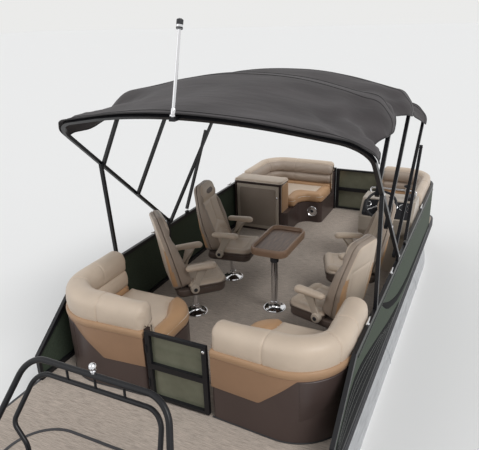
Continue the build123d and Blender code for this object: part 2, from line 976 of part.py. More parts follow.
mount = (mount_y, mount_z)
second_pivot = up_leg(mount, main_angle, main_span * second_share)
third_pivot = up_leg(mount, main_angle, main_span * third_share)
strut_pivot = up_leg(mount, front_angle, front_strut_share)
play = pin_radius + pin_play
inner_face = inner_half - bow_tube / 2
main_face = main_half - bow_tube / 2
main_centre = main_shoulder + main_rise - crown_radius * (1 / cos(atan2(main_rise, main_half)) - 1)
pole_foot = up_leg(mount, main_angle, main_centre)
pole_y = pole_foot[0] - bow_tube * 1.6

with BuildPart() as main_bow:
    add(bow(mount, main_angle, main_half, main_shoulder, main_rise, bow_end))
    add(strut(main_half, second_pivot, (rear_strut_foot, fence_height), 0))
    for pivot in (mount, second_pivot, third_pivot):
        add(cross_pins(pivot, inner_face - 4, main_half, pin_radius))
    for side in (-1, 1):
        for foot_y, high in ((mount_y, mount_z + 18), (front_strut_foot, fence_height + 28)):
            foot_x = (side * main_half - 13, side * main_half + 13)
            side_box(
                Mode.ADD,
                foot_x,
                (gate_y + foot_y - 24, gate_y + foot_y + 24),
                (deck_top + fence_height, deck_top + high),
            )
        side_box(
            Mode.ADD,
            (side * main_half - 15, side * main_half + 15),
            (gate_y + rear_strut_foot - 26, gate_y + rear_strut_foot + 26),
            (deck_top + fence_height, deck_top + fence_height + 12),
        )
    side_box(
        Mode.SUBTRACT,
        (-main_half - 50, main_half + 50),
        (gate_y + rear_strut_foot - 80, gate_y + rear_strut_foot + 80),
        (deck_top, deck_top + fence_height),
    )
    side_box(
        Mode.ADD,
        (-22, 22),
        (gate_y + pole_y - 20, gate_y + pole_foot[0]),
        (deck_top + pole_foot[1] - 18, deck_top + pole_foot[1] + 12),
    )
write(main_bow.part, "bimini_main_bow")

for name, pivot, angle, shoulder, rise in (
    ("second", second_pivot, second_angle, second_shoulder, second_rise),
    ("third", third_pivot, third_angle, third_shoulder, third_rise),
    ("front", mount, front_angle, front_shoulder, front_rise),
):
    with BuildPart() as folding_bow:
        add(bow(pivot, angle, inner_half, shoulder, rise, -bow_end))
        add(cross_pins(pivot, inner_face - 5, inner_face + bow_tube + 5, play), mode=Mode.SUBTRACT)
        if name == "front":
            add(cross_pins(strut_pivot, inner_half, main_half + bow_tube / 2 + 3, pin_radius))
    write(folding_bow.part, f"bimini_{name}_bow")

with BuildPart() as front_struts:
    add(strut(main_half, strut_pivot, (front_strut_foot, mount_z), bow_end))
    add(cross_pins(strut_pivot, main_face - 5, main_face + bow_tube + 5, play), mode=Mode.SUBTRACT)
write(front_struts.part, "bimini_front_struts")

canopy_bows = [
    (mount, main_angle, main_half, main_shoulder, main_rise),
    (second_pivot, second_angle, inner_half, second_shoulder, second_rise),
    (third_pivot, third_angle, inner_half, third_shoulder, third_rise),
    (mount, front_angle, inner_half, front_shoulder, front_rise),
]


def canopy_section(half, rise, draw, crown):
    """The sheet's cut over one bow from its shoulders, or between two, drawn in at the corners."""
    points = []
    for outset in (canopy_clear, canopy_clear - canopy_thick):
        slope = atan2(rise, half + outset)
        turn = radians(90) - slope
        back = (corner_radius + outset) * (tan(turn / 2) - tan(turn / 4))
        side = [
            (half + outset - 0.3 * draw, -canopy_skirt),
            (half + outset - 0.8 * draw, outset - back - 0.2 * draw),
            (half + outset - back * cos(slope) - 0.45 * draw, outset + back * sin(slope) - 0.9 * draw),
        ]
        edge = side + [(0, rise + outset)] + [(-x, height) for x, height in side[::-1]]
        points.append(edge)
    corner = corner_radius * 0.6
    radii = [0, corner, corner, crown, corner, corner, 0]
    return plan(points[0] + points[1][::-1], radii + radii)


shoulders = [
    (*up_leg(pivot, angle, shoulder), angle, half, rise, 0, crown_radius)
    for pivot, angle, half, shoulder, rise in canopy_bows
]
canopy_cuts = [shoulders[0]]
for first, second in zip(shoulders, shoulders[1:]):
    middle = [(one + other) / 2 for one, other in zip(first, second)]
    canopy_cuts.append((*middle[:5], canopy_draw, canopy_sag_crown))
    canopy_cuts.append(second)
cuts = [canopy_section(half, rise, draw, crown) for y, z, angle, half, rise, draw, crown in canopy_cuts]
with BuildPart() as canopy:
    for cut, (y, z, angle, *rest) in zip(cuts, canopy_cuts):
        with BuildSketch(bow_plane((y, z), angle)):
            add(cut)
    loft(ruled=True)
write(canopy.part, "canopy")

lean = radians(light_pole_lean)
pole_plane = Plane(
    origin=(0, gate_y + pole_y, deck_top + pole_foot[1] + 12),
    x_dir=(1, 0, 0),
    z_dir=(0, sin(lean), cos(lean)),
)
with BuildPart() as light_pole:
    with BuildSketch(pole_plane.offset(-light_pole_radius)):
        Circle(light_pole_radius)
    extrude(amount=light_pole_height)
    with BuildSketch(pole_plane.offset(light_pole_height - 31)):
        Circle(light_pole_radius * 1.8)
    extrude(amount=62)
    pole_stern = gate_y + pole_y
    block_top = deck_top + pole_foot[1] + 12
    side_box(Mode.SUBTRACT, (-50, 50), (pole_stern - 50, pole_stern + 50), (block_top - 50, block_top))
write(light_pole.part, "light_pole")

# Tow bar: two hoops joined by rods, with a tow hook

tow_foot = (830, -1410)
tow_plane_up = (0, tow_top_y - tow_foot[1], tow_top_z)
tow_run = (tow_plane_up[1] ** 2 + tow_plane_up[2] ** 2) ** 0.5
tow_plane = Plane(
    origin=(0, gate_y + tow_foot[1], deck_top),
    x_dir=(1, 0, 0),
    z_dir=(0, -tow_plane_up[2] / tow_run, tow_plane_up[1] / tow_run),
)
lower_path = [
    # x, y from the rear gate, height above the deck
    (400, -1120, 0),
    (425, -1085, 400),
    (545, -1060, 515),
    (470, tow_top_y, tow_top_z - tow_lower_drop),
]
with BuildPart() as tow_bar:
    with BuildLine(tow_plane) as upper:
        FilletPolyline(
            (tow_foot[0], 0), (520, tow_run), (-520, tow_run), (-tow_foot[0], 0), radius=tow_corner
        )
    with BuildSketch(Plane(origin=upper.line @ 0, z_dir=upper.line % 0)):
        Circle(tow_tube)
    sweep()
with BuildPart() as tow_lower:
    right = [(x, gate_y + y, deck_top + z) for x, y, z in lower_path]
    left = [(-x, y, z) for x, y, z in right[::-1]]
    with BuildLine() as lower:
        FilletPolyline(*right, *left, radius=[90, 70, 130, 130, 70, 90])
    with BuildSketch(Plane(origin=lower.line @ 0, z_dir=lower.line % 0)):
        Circle(tow_tube * 0.8)
    sweep()
with BuildPart() as tow_frame:
    add(tow_bar.part)
    add(tow_lower.part)
    for rod_x in (-215, 0, 215):
        with BuildSketch(Plane.XY.offset(deck_top + tow_top_z - tow_lower_drop)):
            with Locations((rod_x, gate_y + tow_top_y)):
                Circle(8)
        extrude(amount=tow_lower_drop)
    for foot_x in (-tow_foot[0], tow_foot[0]):
        with Locations((foot_x, gate_y + tow_foot[1], deck_top + 5)):
            Cylinder(60, 10)
    for foot_x in (-lower_path[0][0], lower_path[0][0]):
        with Locations((foot_x, gate_y + lower_path[0][1], deck_top + 5)):
            Cylinder(45, 10)
    with Locations((0, gate_y + tow_top_y, deck_top + tow_top_z + tow_tube + 12)):
        Cylinder(hook_neck, 40)
    with Locations((0, gate_y + tow_top_y, deck_top + tow_top_z + tow_tube + 42)):
        Sphere(hook_ball)
    side_box(Mode.SUBTRACT, (-1200, 1200), (deck_aft, gate_y), (deck_top - 100, deck_top))
write(tow_frame.part, "tow_bar")

# Outboard motor: clamp bracket, swivel bracket, leg, cowl, engine and propeller

with BuildPart() as outboard_bracket:
    bracket_side = [
        (transom_face, swivel_low + 20),
        (transom_face, tilt_z + 30),
        (tilt_y - 20, tilt_z + 30),
        (tilt_y - 38, tilt_z),
        (tilt_y - 38, tilt_z - 120),
        (transom_face - 30, swivel_low + 20),
    ]
    for side in (-1, 1):
        ear = (side * bracket_half, side * (bracket_half - bracket_thick))
        add(profile(bracket_side, min(ear), max(ear)))
    with Locations(Location((0, tilt_y, tilt_z), (0, 90, 0))):
        Cylinder(tilt_bar, 2 * bracket_half)
write(outboard_bracket.part, "outboard_bracket")

with BuildPart() as outboard_swivel:
    with Locations((0, steer_y, (swivel_low + swivel_high) / 2)):
        Cylinder(swivel_radius, swivel_high - swivel_low)
    side_box(
        Mode.ADD,
        (-30, 30),
        (steer_y, tilt_y - 12),
        (swivel_low + 20, swivel_high - 10),
    )
    with Locations(Location((0, tilt_y, tilt_z), (0, 90, 0))):
        Cylinder(tilt_bar + 12, 2 * (bracket_half - bracket_thick) - 10)
    side_box(
        Mode.ADD,
        (-bracket_half + bracket_thick + 12, bracket_half - bracket_thick - 12),
        (tilt_y - 38, tilt_y - 12),
        (swivel_high - 70, tilt_z),
    )
    with Locations(Location((0, tilt_y, tilt_z), (0, 90, 0))):
        Cylinder(tilt_bar + pin_play, 2 * bracket_half, mode=Mode.SUBTRACT)
write(outboard_swivel.part, "outboard_swivel")

leg_sections = [
    # height, half width, front, back
    (cowl_base - 40, 95, leg_front + 8, leg_aft - 110),
    (420, leg_half, leg_front, leg_aft - 30),
    (0, leg_half - 8, leg_front, leg_aft - 20),
    (-150, 30, leg_front - 5, leg_aft - 40),
    (-260, 26, leg_front - 5, leg_aft - 40),
]
plate_z = propeller_z + 190
with BuildPart() as outboard_leg:
    for height, half, front, back in leg_sections:
        with BuildSketch(Plane.XY.offset(height)):
            with Locations((0, (front + back) / 2)):
                RectangleRounded(2 * half, front - back, half * 0.6)
    loft(ruled=True)
    for low, high in ((swivel_high + 8, swivel_high + 50), (swivel_low - 55, swivel_low - 8)):
        with Locations((0, steer_y, (low + high) / 2)):
            Cylinder(yoke_radius, high - low)
        side_box(Mode.ADD, (-yoke_radius, yoke_radius), (leg_aft + 60, steer_y), (low, high))
    with BuildSketch(Plane.XY.offset(plate_z)):
        with BuildLine():
            Polyline(
                (-30, leg_front + 20),
                (30, leg_front + 20),
                (105, leg_aft + 20),
                (90, propeller_y - 60),
                (-90, propeller_y - 60),
                (-105, leg_aft + 20),
                close=True,
            )
        make_face()
    extrude(amount=12)
    torpedo = Plane(origin=(0, leg_front + 110, propeller_z), x_dir=(1, 0, 0), z_dir=(0, -1, 0))
    torpedo_length = leg_front + 110 - (propeller_y + 62)
    for along, radius in ((0, 8), (90, 44), (190, 58), (torpedo_length, 50)):
        with BuildSketch(torpedo.offset(along)):
            Circle(radius)
    loft()
    add(
        profile(
            [
                (leg_front + 20, propeller_z - 20),
                (leg_front - 40, propeller_z - 225),
                (leg_front - 90, propeller_z - 225),
                (leg_aft - 60, propeller_z - 20),
            ],
            -7,
            7,
        )
    )
write(outboard_leg.part, "outboard_leg")

cowl_sections = [
    # height, half width, front, back, corner
    (cowl_base, cowl_half - 30, cowl_front - 65, cowl_aft + 20, 90),
    (cowl_base + 120, cowl_half, cowl_front - 45, cowl_aft, 110),
    (cowl_top - 130, cowl_half - 5, cowl_front, cowl_aft + 15, 110),
    (cowl_top - 30, cowl_half - 45, cowl_front - 25, cowl_aft + 80, 100),
    (cowl_top, cowl_half - 90, cowl_front - 80, cowl_aft + 150, 80),
]
with BuildPart() as cowl:
    for height, half, front, back, corner in cowl_sections:
        with BuildSketch(Plane.XY.offset(height)):
            with Locations((0, (front + back) / 2)):
                RectangleRounded(2 * half, front - back, corner)
    loft(ruled=True)
    inner_sections = [
        (height - (0 if height == cowl_base else cowl_wall), half - cowl_wall, front, back, corner)
        for height, half, front, back, corner in cowl_sections
    ]
    for height, half, front, back, corner in inner_sections:
        with BuildSketch(Plane.XY.offset(height)):
            with Locations((0, (front + back) / 2)):
                RectangleRounded(2 * half, front - back - 2 * cowl_wall, corner - cowl_wall)
    loft(ruled=True, mode=Mode.SUBTRACT)
    with BuildSketch(Plane.XY.offset(cowl_base - 22)):
        with Locations((0, (cowl_front - 65 + cowl_aft + 20) / 2)):
            RectangleRounded(2 * cowl_half - 60, cowl_front - 85 - cowl_aft, 90)
    extrude(amount=22)
    side_box(Mode.ADD, (-80, 80), (leg_aft - 110, leg_front + 8), (cowl_base - 40, cowl_base - 20))
write(cowl.part, "outboard_cowl")

with BuildPart() as engine:
    side_box(
        Mode.ADD,
        (-cowl_half + 60, cowl_half - 60),
        (cowl_aft + 60, cowl_front - 110),
        (cowl_base, cowl_top - 130),
    )
write(engine.part, "engine_block")

with BuildPart() as propeller:
    hub_plane = Plane(origin=(0, propeller_y + 60, propeller_z), x_dir=(1, 0, 0), z_dir=(0, -1, 0))
    with BuildSketch(hub_plane):
        Circle(46)
    with BuildSketch(hub_plane.offset(115)):
        Circle(34)
    loft()
    with BuildPart(mode=Mode.PRIVATE) as blade:
        with BuildSketch(Plane.XZ):
            with BuildLine():
                Polyline(
                    (-40, 30),
                    (-75, 110),
                    (-45, propeller_radius - 15),
                    (10, propeller_radius),
                    (60, propeller_radius - 45),
                    (70, 100),
                    (40, 30),
                    close=True,
                )
            make_face()
        extrude(amount=3, both=True)
    for turn in range(blade_count):
        spin = Location((0, propeller_y, propeller_z), (0, turn * 360 / blade_count, 0))
        add(blade.part.moved(spin * Location((0, 0, 0), (0, 0, blade_pitch))))
write(propeller.part, "propeller")
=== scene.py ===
"""Pontoon boat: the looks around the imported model, in its own frame, in metres."""

import bisect
import math

import bmesh
import bpy
import numpy as np
from mathutils import Matrix, Vector, noise
from mathutils.geometry import delaunay_2d_cdt


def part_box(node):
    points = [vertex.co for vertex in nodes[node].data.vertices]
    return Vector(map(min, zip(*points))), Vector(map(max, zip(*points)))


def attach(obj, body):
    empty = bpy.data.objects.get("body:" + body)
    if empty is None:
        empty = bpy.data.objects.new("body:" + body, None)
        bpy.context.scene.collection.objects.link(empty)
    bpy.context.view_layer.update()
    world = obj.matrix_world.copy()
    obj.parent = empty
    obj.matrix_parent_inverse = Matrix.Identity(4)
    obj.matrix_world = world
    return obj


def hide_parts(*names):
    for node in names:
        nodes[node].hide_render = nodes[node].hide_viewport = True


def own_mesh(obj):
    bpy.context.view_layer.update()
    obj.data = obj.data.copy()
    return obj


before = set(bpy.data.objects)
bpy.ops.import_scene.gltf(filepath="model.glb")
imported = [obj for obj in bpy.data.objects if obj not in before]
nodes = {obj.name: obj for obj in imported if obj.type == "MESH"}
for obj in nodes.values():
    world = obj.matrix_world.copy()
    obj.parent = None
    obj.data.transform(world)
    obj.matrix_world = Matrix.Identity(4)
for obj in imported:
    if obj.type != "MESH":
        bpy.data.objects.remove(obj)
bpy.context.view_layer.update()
scene = bpy.context.scene

# Camera, at the photograph's viewing angle

camera_place = Vector((1.958, -4.590, 3.3745))
camera_yaw = math.radians(26.12)
camera_pitch = math.radians(21.64)
camera_roll = math.radians(-1.80)
# The photograph's width and the fitted focal length, both in its pixels
photo_width, focal_length = 479, 535.95
focal_share = focal_length / photo_width
sensor_width = 36

forward = Vector(
    (
        -math.sin(camera_yaw) * math.cos(camera_pitch),
        math.cos(camera_yaw) * math.cos(camera_pitch),
        -math.sin(camera_pitch),
    )
)
level_right = Vector((math.cos(camera_yaw), math.sin(camera_yaw), 0))
level_up = level_right.cross(forward)
right = level_right * math.cos(camera_roll) + level_up * math.sin(camera_roll)
up = level_up * math.cos(camera_roll) - level_right * math.sin(camera_roll)

camera_data = bpy.data.cameras.new("camera")
camera_data.sensor_width = sensor_width
camera_data.lens = sensor_width * focal_share
camera = bpy.data.objects.new("camera", camera_data)
turn = Matrix((right, up, -forward)).transposed().to_4x4()
camera.matrix_world = Matrix.Translation(camera_place) @ turn
scene.collection.objects.link(camera)
scene.camera = camera
scene.view_settings.view_transform = "Standard"


# Materials


def put_socket(node, name, value):
    """Set one input of a shader node."""
    node.inputs[name].default_value = value


def new_material(name, colour, roughness, metallic=0.0, **sockets):
    """A principled material with plain values, to be given its pattern by the caller."""
    material = bpy.data.materials.new(name)
    material.use_nodes = True
    shader = material.node_tree.nodes["Principled BSDF"]
    put_socket(shader, "Base Color", (*colour, 1))
    put_socket(shader, "Roughness", roughness)
    put_socket(shader, "Metallic", metallic)
    for socket, value in sockets.items():
        put_socket(shader, socket.replace("_", " "), value)
    return material


def add_node(material, kind, **values):
    """A shader node with its settings and plain inputs."""
    node = material.node_tree.nodes.new(kind)
    for name, value in values.items():
        if hasattr(node, name):
            setattr(node, name, value)
        else:
            put_socket(node, name.replace("_", " "), value)
    return node


def link(material, source, target):
    """Join one output to one input."""
    material.node_tree.links.new(source, target)


def stretched(material, scale):
    """Object coordinates, scaled along each axis."""
    place = add_node(material, "ShaderNodeTexCoord")
    mapping = add_node(material, "ShaderNodeMapping")
    put_socket(mapping, "Scale", scale)
    link(material, place.outputs["Object"], mapping.inputs["Vector"])
    return mapping.outputs["Vector"]


def noise_at(material, scale, stretch=(1, 1, 1), detail=4.0, roughness=0.55):
    """A noise value over the surface."""
    texture = add_node(material, "ShaderNodeTexNoise")
    put_socket(texture, "Scale", scale)
    put_socket(texture, "Detail", detail)
    put_socket(texture, "Roughness", roughness)
    link(material, stretched(material, stretch), texture.inputs["Vector"])
    return texture.outputs["Fac"]


def ramp(material, value, low, high, dark, light):
    """A colour between two, as a value goes from low to high."""
    node = add_node(material, "ShaderNodeValToRGB")
    node.color_ramp.elements[0].position = low
    node.color_ramp.elements[0].color = (*dark, 1)
    node.color_ramp.elements[1].position = high
    node.color_ramp.elements[1].color = (*light, 1)
    link(material, value, node.inputs["Fac"])
    return node.outputs["Color"]


def colour_from(material, output):
    """Send a colour to the shader."""
    link(material, output, material.node_tree.nodes["Principled BSDF"].inputs["Base Color"])


def bump_from(material, value, strength, distance):
    """Send a height to the shader's normal."""
    node = add_node(material, "ShaderNodeBump")
    put_socket(node, "Strength", strength)
    put_socket(node, "Distance", distance)
    link(material, value, node.inputs["Height"])
    shader = material.node_tree.nodes["Principled BSDF"]
    if shader.inputs["Normal"].links:
        link(material, shader.inputs["Normal"].links[0].from_socket, node.inputs["Normal"])
    link(material, node.outputs["Normal"], shader.inputs["Normal"])


def shade(colour, factor):
    """A colour made darker or lighter."""
    return tuple(min(part * factor, 1) for part in colour)


def soft_vinyl(name, colour):
    """Cushion vinyl with a fine grain and slight mottling."""
    material = new_material(name, colour, 0.42, Specular_IOR_Level=0.35, Sheen_Weight=0.08)
    mottle = noise_at(material, 3.5, detail=5)
    colour_from(material, ramp(material, mottle, 0.3, 0.72, shade(colour, 0.93), shade(colour, 1.06)))
    bump_from(material, noise_at(material, 420, detail=2), 0.18, 0.0006)
    bump_from(material, noise_at(material, 18, detail=3), 0.12, 0.004)
    return material


def moulded(name, colour, roughness=0.35):
    """Moulded plastic with a faint orange peel, and a slow mottling of its colour, a painted sheen that
    stands for wear in the gloss.
    """
    material = new_material(name, colour, roughness, Specular_IOR_Level=0.45)
    mottle = noise_at(material, 2.2, detail=6)
    colour_from(material, ramp(material, mottle, 0.3, 0.7, shade(colour, 0.9), shade(colour, 1.08)))
    bump_from(material, noise_at(material, 240, detail=2), 0.08, 0.0005)
    return material


def painted(name, colour, roughness=0.4, coat=0.0, specular=0.5):
    """Painted metal with fine speckle."""
    material = new_material(name, colour, roughness, Specular_IOR_Level=specular, Coat_Weight=coat)
    speckle = noise_at(material, 60, detail=6)
    colour_from(material, ramp(material, speckle, 0.3, 0.75, shade(colour, 0.85), shade(colour, 1.2)))
    bump_from(material, noise_at(material, 500, detail=2), 0.1, 0.0003)
    return material


cream = (0.60, 0.49, 0.385)
tan = (0.49, 0.295, 0.160)
brown_dark = (0.070, 0.048, 0.043)
brown_mid = (0.33, 0.195, 0.115)

mat_cream = soft_vinyl("vinyl_cream", cream)
mat_tan = soft_vinyl("vinyl_tan", tan)
# Cream vinyl with painted shade: the cream colour darkened, for faces that lie in shade
mat_cream_painted_shade = soft_vinyl("vinyl_cream_painted_shade", (0.36, 0.29, 0.235))
mat_brown = soft_vinyl("vinyl_brown", (0.095, 0.068, 0.055))
mat_piping = soft_vinyl("vinyl_piping", (0.72, 0.64, 0.54))
mat_black = painted("powder_black", (0.011, 0.011, 0.013), 0.34, specular=0.3)
mat_shell = moulded("shell_brown", brown_dark)
mat_beige = moulded("moulded_beige", (0.50, 0.43, 0.355), 0.3)
mat_pan = moulded("moulded_taupe", (0.30, 0.245, 0.20), 0.4)
mat_chrome = new_material("chrome", (0.78, 0.78, 0.80), 0.12, 1.0)
mat_olive = painted("fence_olive", (0.058, 0.074, 0.054), 0.5, specular=0.03)
mat_accent = painted("fence_accent", (0.010, 0.010, 0.011), 0.5, specular=0.01)
mat_stripe = painted("fence_stripe", (0.20, 0.21, 0.195), 0.4, specular=0.1)
mat_grip = moulded("grip_black", (0.025, 0.025, 0.028), 0.6)
mat_motor = painted("motor_black", (0.028, 0.028, 0.033), 0.25, 0.6)


def woven_floor():
    """Woven vinyl: fine threads across the boat, with a drift of light and dark."""
    colour = (0.49, 0.42, 0.36)
    material = new_material("woven_floor", colour, 0.8, Specular_IOR_Level=0.2)
    threads = noise_at(material, 26, (0.35, 7, 1), detail=6, roughness=0.8)
    colour_from(material, ramp(material, threads, 0.36, 0.64, shade(colour, 0.56), shade(colour, 1.30)))
    bump_from(material, noise_at(material, 60, (1, 14, 1), detail=3), 0.4, 0.001)
    return material


def mill_aluminium():
    """Welded sheet with a drawn grain."""
    colour = (0.62, 0.63, 0.65)
    material = new_material("mill_aluminium", colour, 0.38, 1.0)
    grain = noise_at(material, 12, (4, 0.5, 4), detail=6)
    colour_from(material, ramp(material, grain, 0.25, 0.75, shade(colour, 0.8), shade(colour, 1.15)))
    bump_from(material, noise_at(material, 30, (6, 0.6, 6), detail=4), 0.08, 0.001)
    return material


def smoked_panel():
    """Olive smoked sheet, glossy; the see-through is not drawn."""
    material = new_material("smoked_panel", (0.15, 0.155, 0.11), 0.08, Specular_IOR_Level=0.6)
    haze = noise_at(material, 4, detail=4)
    colour_from(material, ramp(material, haze, 0.3, 0.7, (0.125, 0.13, 0.09), (0.185, 0.19, 0.135)))
    return material


def dark_wood():
    """Oiled wood with long grain."""
    material = new_material("dark_wood", (0.15, 0.085, 0.05), 0.35)
    grain = noise_at(material, 9, (7, 0.7, 7), detail=8, roughness=0.65)
    colour_from(material, ramp(material, grain, 0.3, 0.7, (0.075, 0.04, 0.026), (0.20, 0.115, 0.07)))
    return material


def woven_canvas(name, colour):
    """Matt cloth with a weave and long faint creases, and long streaks of painted shade and highlight in its
    colour.
    """
    material = new_material(name, colour, 0.8, Specular_IOR_Level=0.18, Sheen_Weight=0.1)
    # Long streaks of painted shade and highlight along the creases
    crease_shade_and_highlight = noise_at(material, 1.6, (1, 3.5, 1), detail=7, roughness=0.6)
    colour_from(material, ramp(material, crease_shade_and_highlight, 0.32, 0.70, shade(colour, 0.82), shade(colour, 1.22)))
    bump_from(material, noise_at(material, 5, (1, 3.0, 1), detail=6), 0.35, 0.012)
    bump_from(material, noise_at(material, 700, detail=1), 0.25, 0.0004)
    return material


mat_floor = woven_floor()
mat_aluminium = mill_aluminium()
mat_smoked = smoked_panel()
mat_wood = dark_wood()
mat_wood_edge = moulded("wood_edge", (0.30, 0.19, 0.125), 0.35)
mat_rim = soft_vinyl("rim_vinyl", (0.40, 0.245, 0.14))
mat_panel = moulded("shell_panel", brown_mid, 0.4)
mat_dash = moulded("dash_black", (0.03, 0.03, 0.033), 0.3)
mat_rail = moulded("rub_rail", (0.05, 0.05, 0.055), 0.55)
mat_canvas = woven_canvas("canvas", (0.060, 0.054, 0.055))
mat_canvas_edge = woven_canvas("canvas_edge", (0.034, 0.032, 0.033))

node_materials = {
    "cross_members": mat_aluminium,
    "motor_pod": mat_aluminium,
    "deck": mat_floor,
    "deck_trim": mat_rail,
    "rear_gate_frame": mat_black,
    "rear_gate_panel": mat_smoked,
    "bow_gate_frame": mat_black,
    "bow_gate_panel": mat_smoked,
    "cabinet_door": mat_beige,
    "console": mat_beige,
    "steering_wheel": mat_grip,
    "table_top": mat_wood,
    "table_pedestal": mat_chrome,
    "chair_pedestals": mat_chrome,
    "bimini_front_struts": mat_black,
    "canopy": mat_canvas,
    "light_pole": mat_chrome,
    "tow_bar": mat_black,
    "propeller": mat_chrome,
}
mirrored_materials = {
    "pontoon": mat_aluminium,
    "fence_frame": mat_black,
    "fence_panel": mat_olive,
    "stern_shell": mat_shell,
    "stern_backrest": mat_cream,
    "stern_seat": mat_tan,
    "bow_lounge_shell": mat_shell,
    "bow_backrest": mat_cream,
    "bow_seat": mat_tan,
}
for stem, node_material in mirrored_materials.items():
    for side_name in ("port", "starboard"):
        node_materials[f"{stem}_{side_name}"] = node_material
for bow_name in ("main", "second", "third", "front"):
    node_materials[f"bimini_{bow_name}_bow"] = mat_black
for node_name in ("outboard_bracket", "outboard_swivel", "outboard_cowl", "engine_block", "outboard_leg"):
    node_materials[node_name] = mat_motor
for number in (1, 2, 3, 4):
    node_materials[f"chair_{number}_frame"] = mat_shell
    node_materials[f"chair_{number}_cushion"] = mat_cream

for node_name, node_material in node_materials.items():
    nodes[node_name].data.materials.clear()
    nodes[node_name].data.materials.append(node_material)


# Shapes


def add_piece(name, points, faces, materials, body, marks=None, sharp=38):
    """A smooth mesh piece that rides on a body; marks give each face's material."""
    mesh = bpy.data.meshes.new(name)
    mesh.from_pydata([tuple(point) for point in points], [], faces)
    for material in materials if isinstance(materials, (list, tuple)) else [materials]:
        mesh.materials.append(material)
    if marks:
        mesh.polygons.foreach_set("material_index", marks)
    work = bmesh.new()
    work.from_mesh(mesh)
    bmesh.ops.recalc_face_normals(work, faces=work.faces)
    work.to_mesh(mesh)
    work.free()
    mesh.polygons.foreach_set("use_smooth", [True] * len(mesh.polygons))
    mesh.set_sharp_from_angle(angle=math.radians(sharp))
    piece = bpy.data.objects.new(name, mesh)
    scene.collection.objects.link(piece)
    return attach(piece, body)


def copy_piece(piece, name, matrix, body):
    """A copy of a piece, its mesh carried by a matrix."""
    mesh = piece.data.copy()
    mesh.transform(matrix)
    if matrix.determinant() < 0:
        mesh.flip_normals()
    twin = bpy.data.objects.new(name, mesh)
    scene.collection.objects.link(twin)
    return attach(twin, body)


across = Matrix.Scale(-1, 4, (1, 0, 0))


def rounded(points, radii, step, closed=False):
    """Points along straight runs whose corners are arcs, at most a step apart."""
    corners = [Vector(point) for point in points]
    count = len(corners)
    line = []
    for index, here in enumerate(corners):
        radius = radii[index] if hasattr(radii, "__len__") else radii
        before = (corners[index - 1] - here).normalized()
        after = (corners[(index + 1) % count] - here).normalized()
        inside = before.angle(after)
        at_end = not closed and index in (0, count - 1)
        if at_end or radius <= 0 or inside > math.pi - 0.001:
            line.append(here)
            continue
        start = here + before * (radius / math.tan(inside / 2))
        centre = here + (before + after).normalized() * (radius / math.sin(inside / 2))
        arm = start - centre
        turned = math.pi - inside
        parts = max(2, math.ceil(radius * turned / step))
        for part in range(parts + 1):
            angle = turned * part / parts
            line.append(centre + arm * math.cos(angle) - before * (radius * math.sin(angle)))
    following = line[1:] + line[:1] if closed else line[1:]
    dense = []
    for first, second in zip(line, following):
        parts = max(1, math.ceil((second - first).length / step - 0.01))
        dense += [first.lerp(second, part / parts) for part in range(parts)]
    return dense if closed else dense + [line[-1]]


def spline(a, b, c, d, t):
    """The point a share t of the way from b to c, on a smooth curve through four points."""
    return 0.5 * (2 * b + (c - a) * t + (2 * a - 5 * b + 4 * c - d) * t * t + (3 * b - a - 3 * c + d) * t**3)


def curved(points, parts, closed=True):
    """Points along a smooth curve through the given ones."""
    knots = [Vector(point) for point in points]
    count = len(knots)
    spans = count if closed else count - 1
    line = []
    for index in range(spans):
        picks = [index - 1, index, index + 1, index + 2]
        if closed:
            near = [knots[pick % count] for pick in picks]
        else:
            near = [knots[min(max(pick, 0), count - 1)] for pick in picks]
        line += [spline(*near, part / parts) for part in range(parts)]
    return line if closed else line + [knots[-1]]


def lengths(line):
    """The distance of each point along a line from its start."""
    total = [0.0]
    for first, second in zip(line, line[1:]):
        total.append(total[-1] + (second - first).length)
    return total


def along(line, total, distance):
    """The point so far along a line."""
    distance = min(max(distance, 0), total[-1])
    index = min(bisect.bisect_right(total, distance), len(line) - 1)
    span = total[index] - total[index - 1]
    share = (distance - total[index - 1]) / span if span else 0
    return line[index - 1].lerp(line[index], share)


def bridged(rings, caps=True, wrap=False):
    """Points and faces of a surface over rings of points."""
    size = len(rings[0])
    points = [point for ring in rings for point in ring]
    faces = []
    rows = len(rings) if wrap else len(rings) - 1
    for row in range(rows):
        after = (row + 1) % len(rings)
        for column in range(size):
            beside = (column + 1) % size
            faces.append(
                (row * size + column, row * size + beside, after * size + beside, after * size + column)
            )
    if caps and not wrap:
        faces.append(tuple(reversed(range(size))))
        faces.append(tuple((len(rings) - 1) * size + column for column in range(size)))
    return points, faces


def tube(name, line, radius, material, body, sides=10, closed=False):
    """A round tube along a line; its radius may change along it."""
    line = [Vector(point) for point in line]
    count = len(line)
    turns = [math.tau * step / sides for step in range(sides)]
    rings = []
    normal = None
    for index, point in enumerate(line):
        before = line[index - 1] if index or closed else point
        after = line[(index + 1) % count] if index < count - 1 or closed else point
        way = (after - before).normalized()
        normal = way.orthogonal() if normal is None else normal - way * normal.dot(way)
        normal.normalize()
        side = way.cross(normal)
        reach = radius(index / (count - 1)) if callable(radius) else radius
        rings.append([point + (normal * math.cos(turn) + side * math.sin(turn)) * reach for turn in turns])
    points, faces = bridged(rings, wrap=closed)
    return add_piece(name, points, faces, material, body)


def spun(name, centre, axis, profile, material, body, sides=32):
    """A piece turned about an axis, from (distance along it, radius) pairs."""
    axis = Vector(axis).normalized()
    first = axis.orthogonal().normalized()
    second = axis.cross(first)
    turns = [math.tau * step / sides for step in range(sides)]
    arms = [first * math.cos(turn) + second * math.sin(turn) for turn in turns]
    rings = []
    for distance, radius in profile:
        rings.append([Vector(centre) + axis * distance + arm * radius for arm in arms])
    return add_piece(name, *bridged(rings), material, body)


def stepped(*radii):
    """A tube's radius at each of its points, one value for each point."""
    return lambda share: radii[round(share * (len(radii) - 1))]


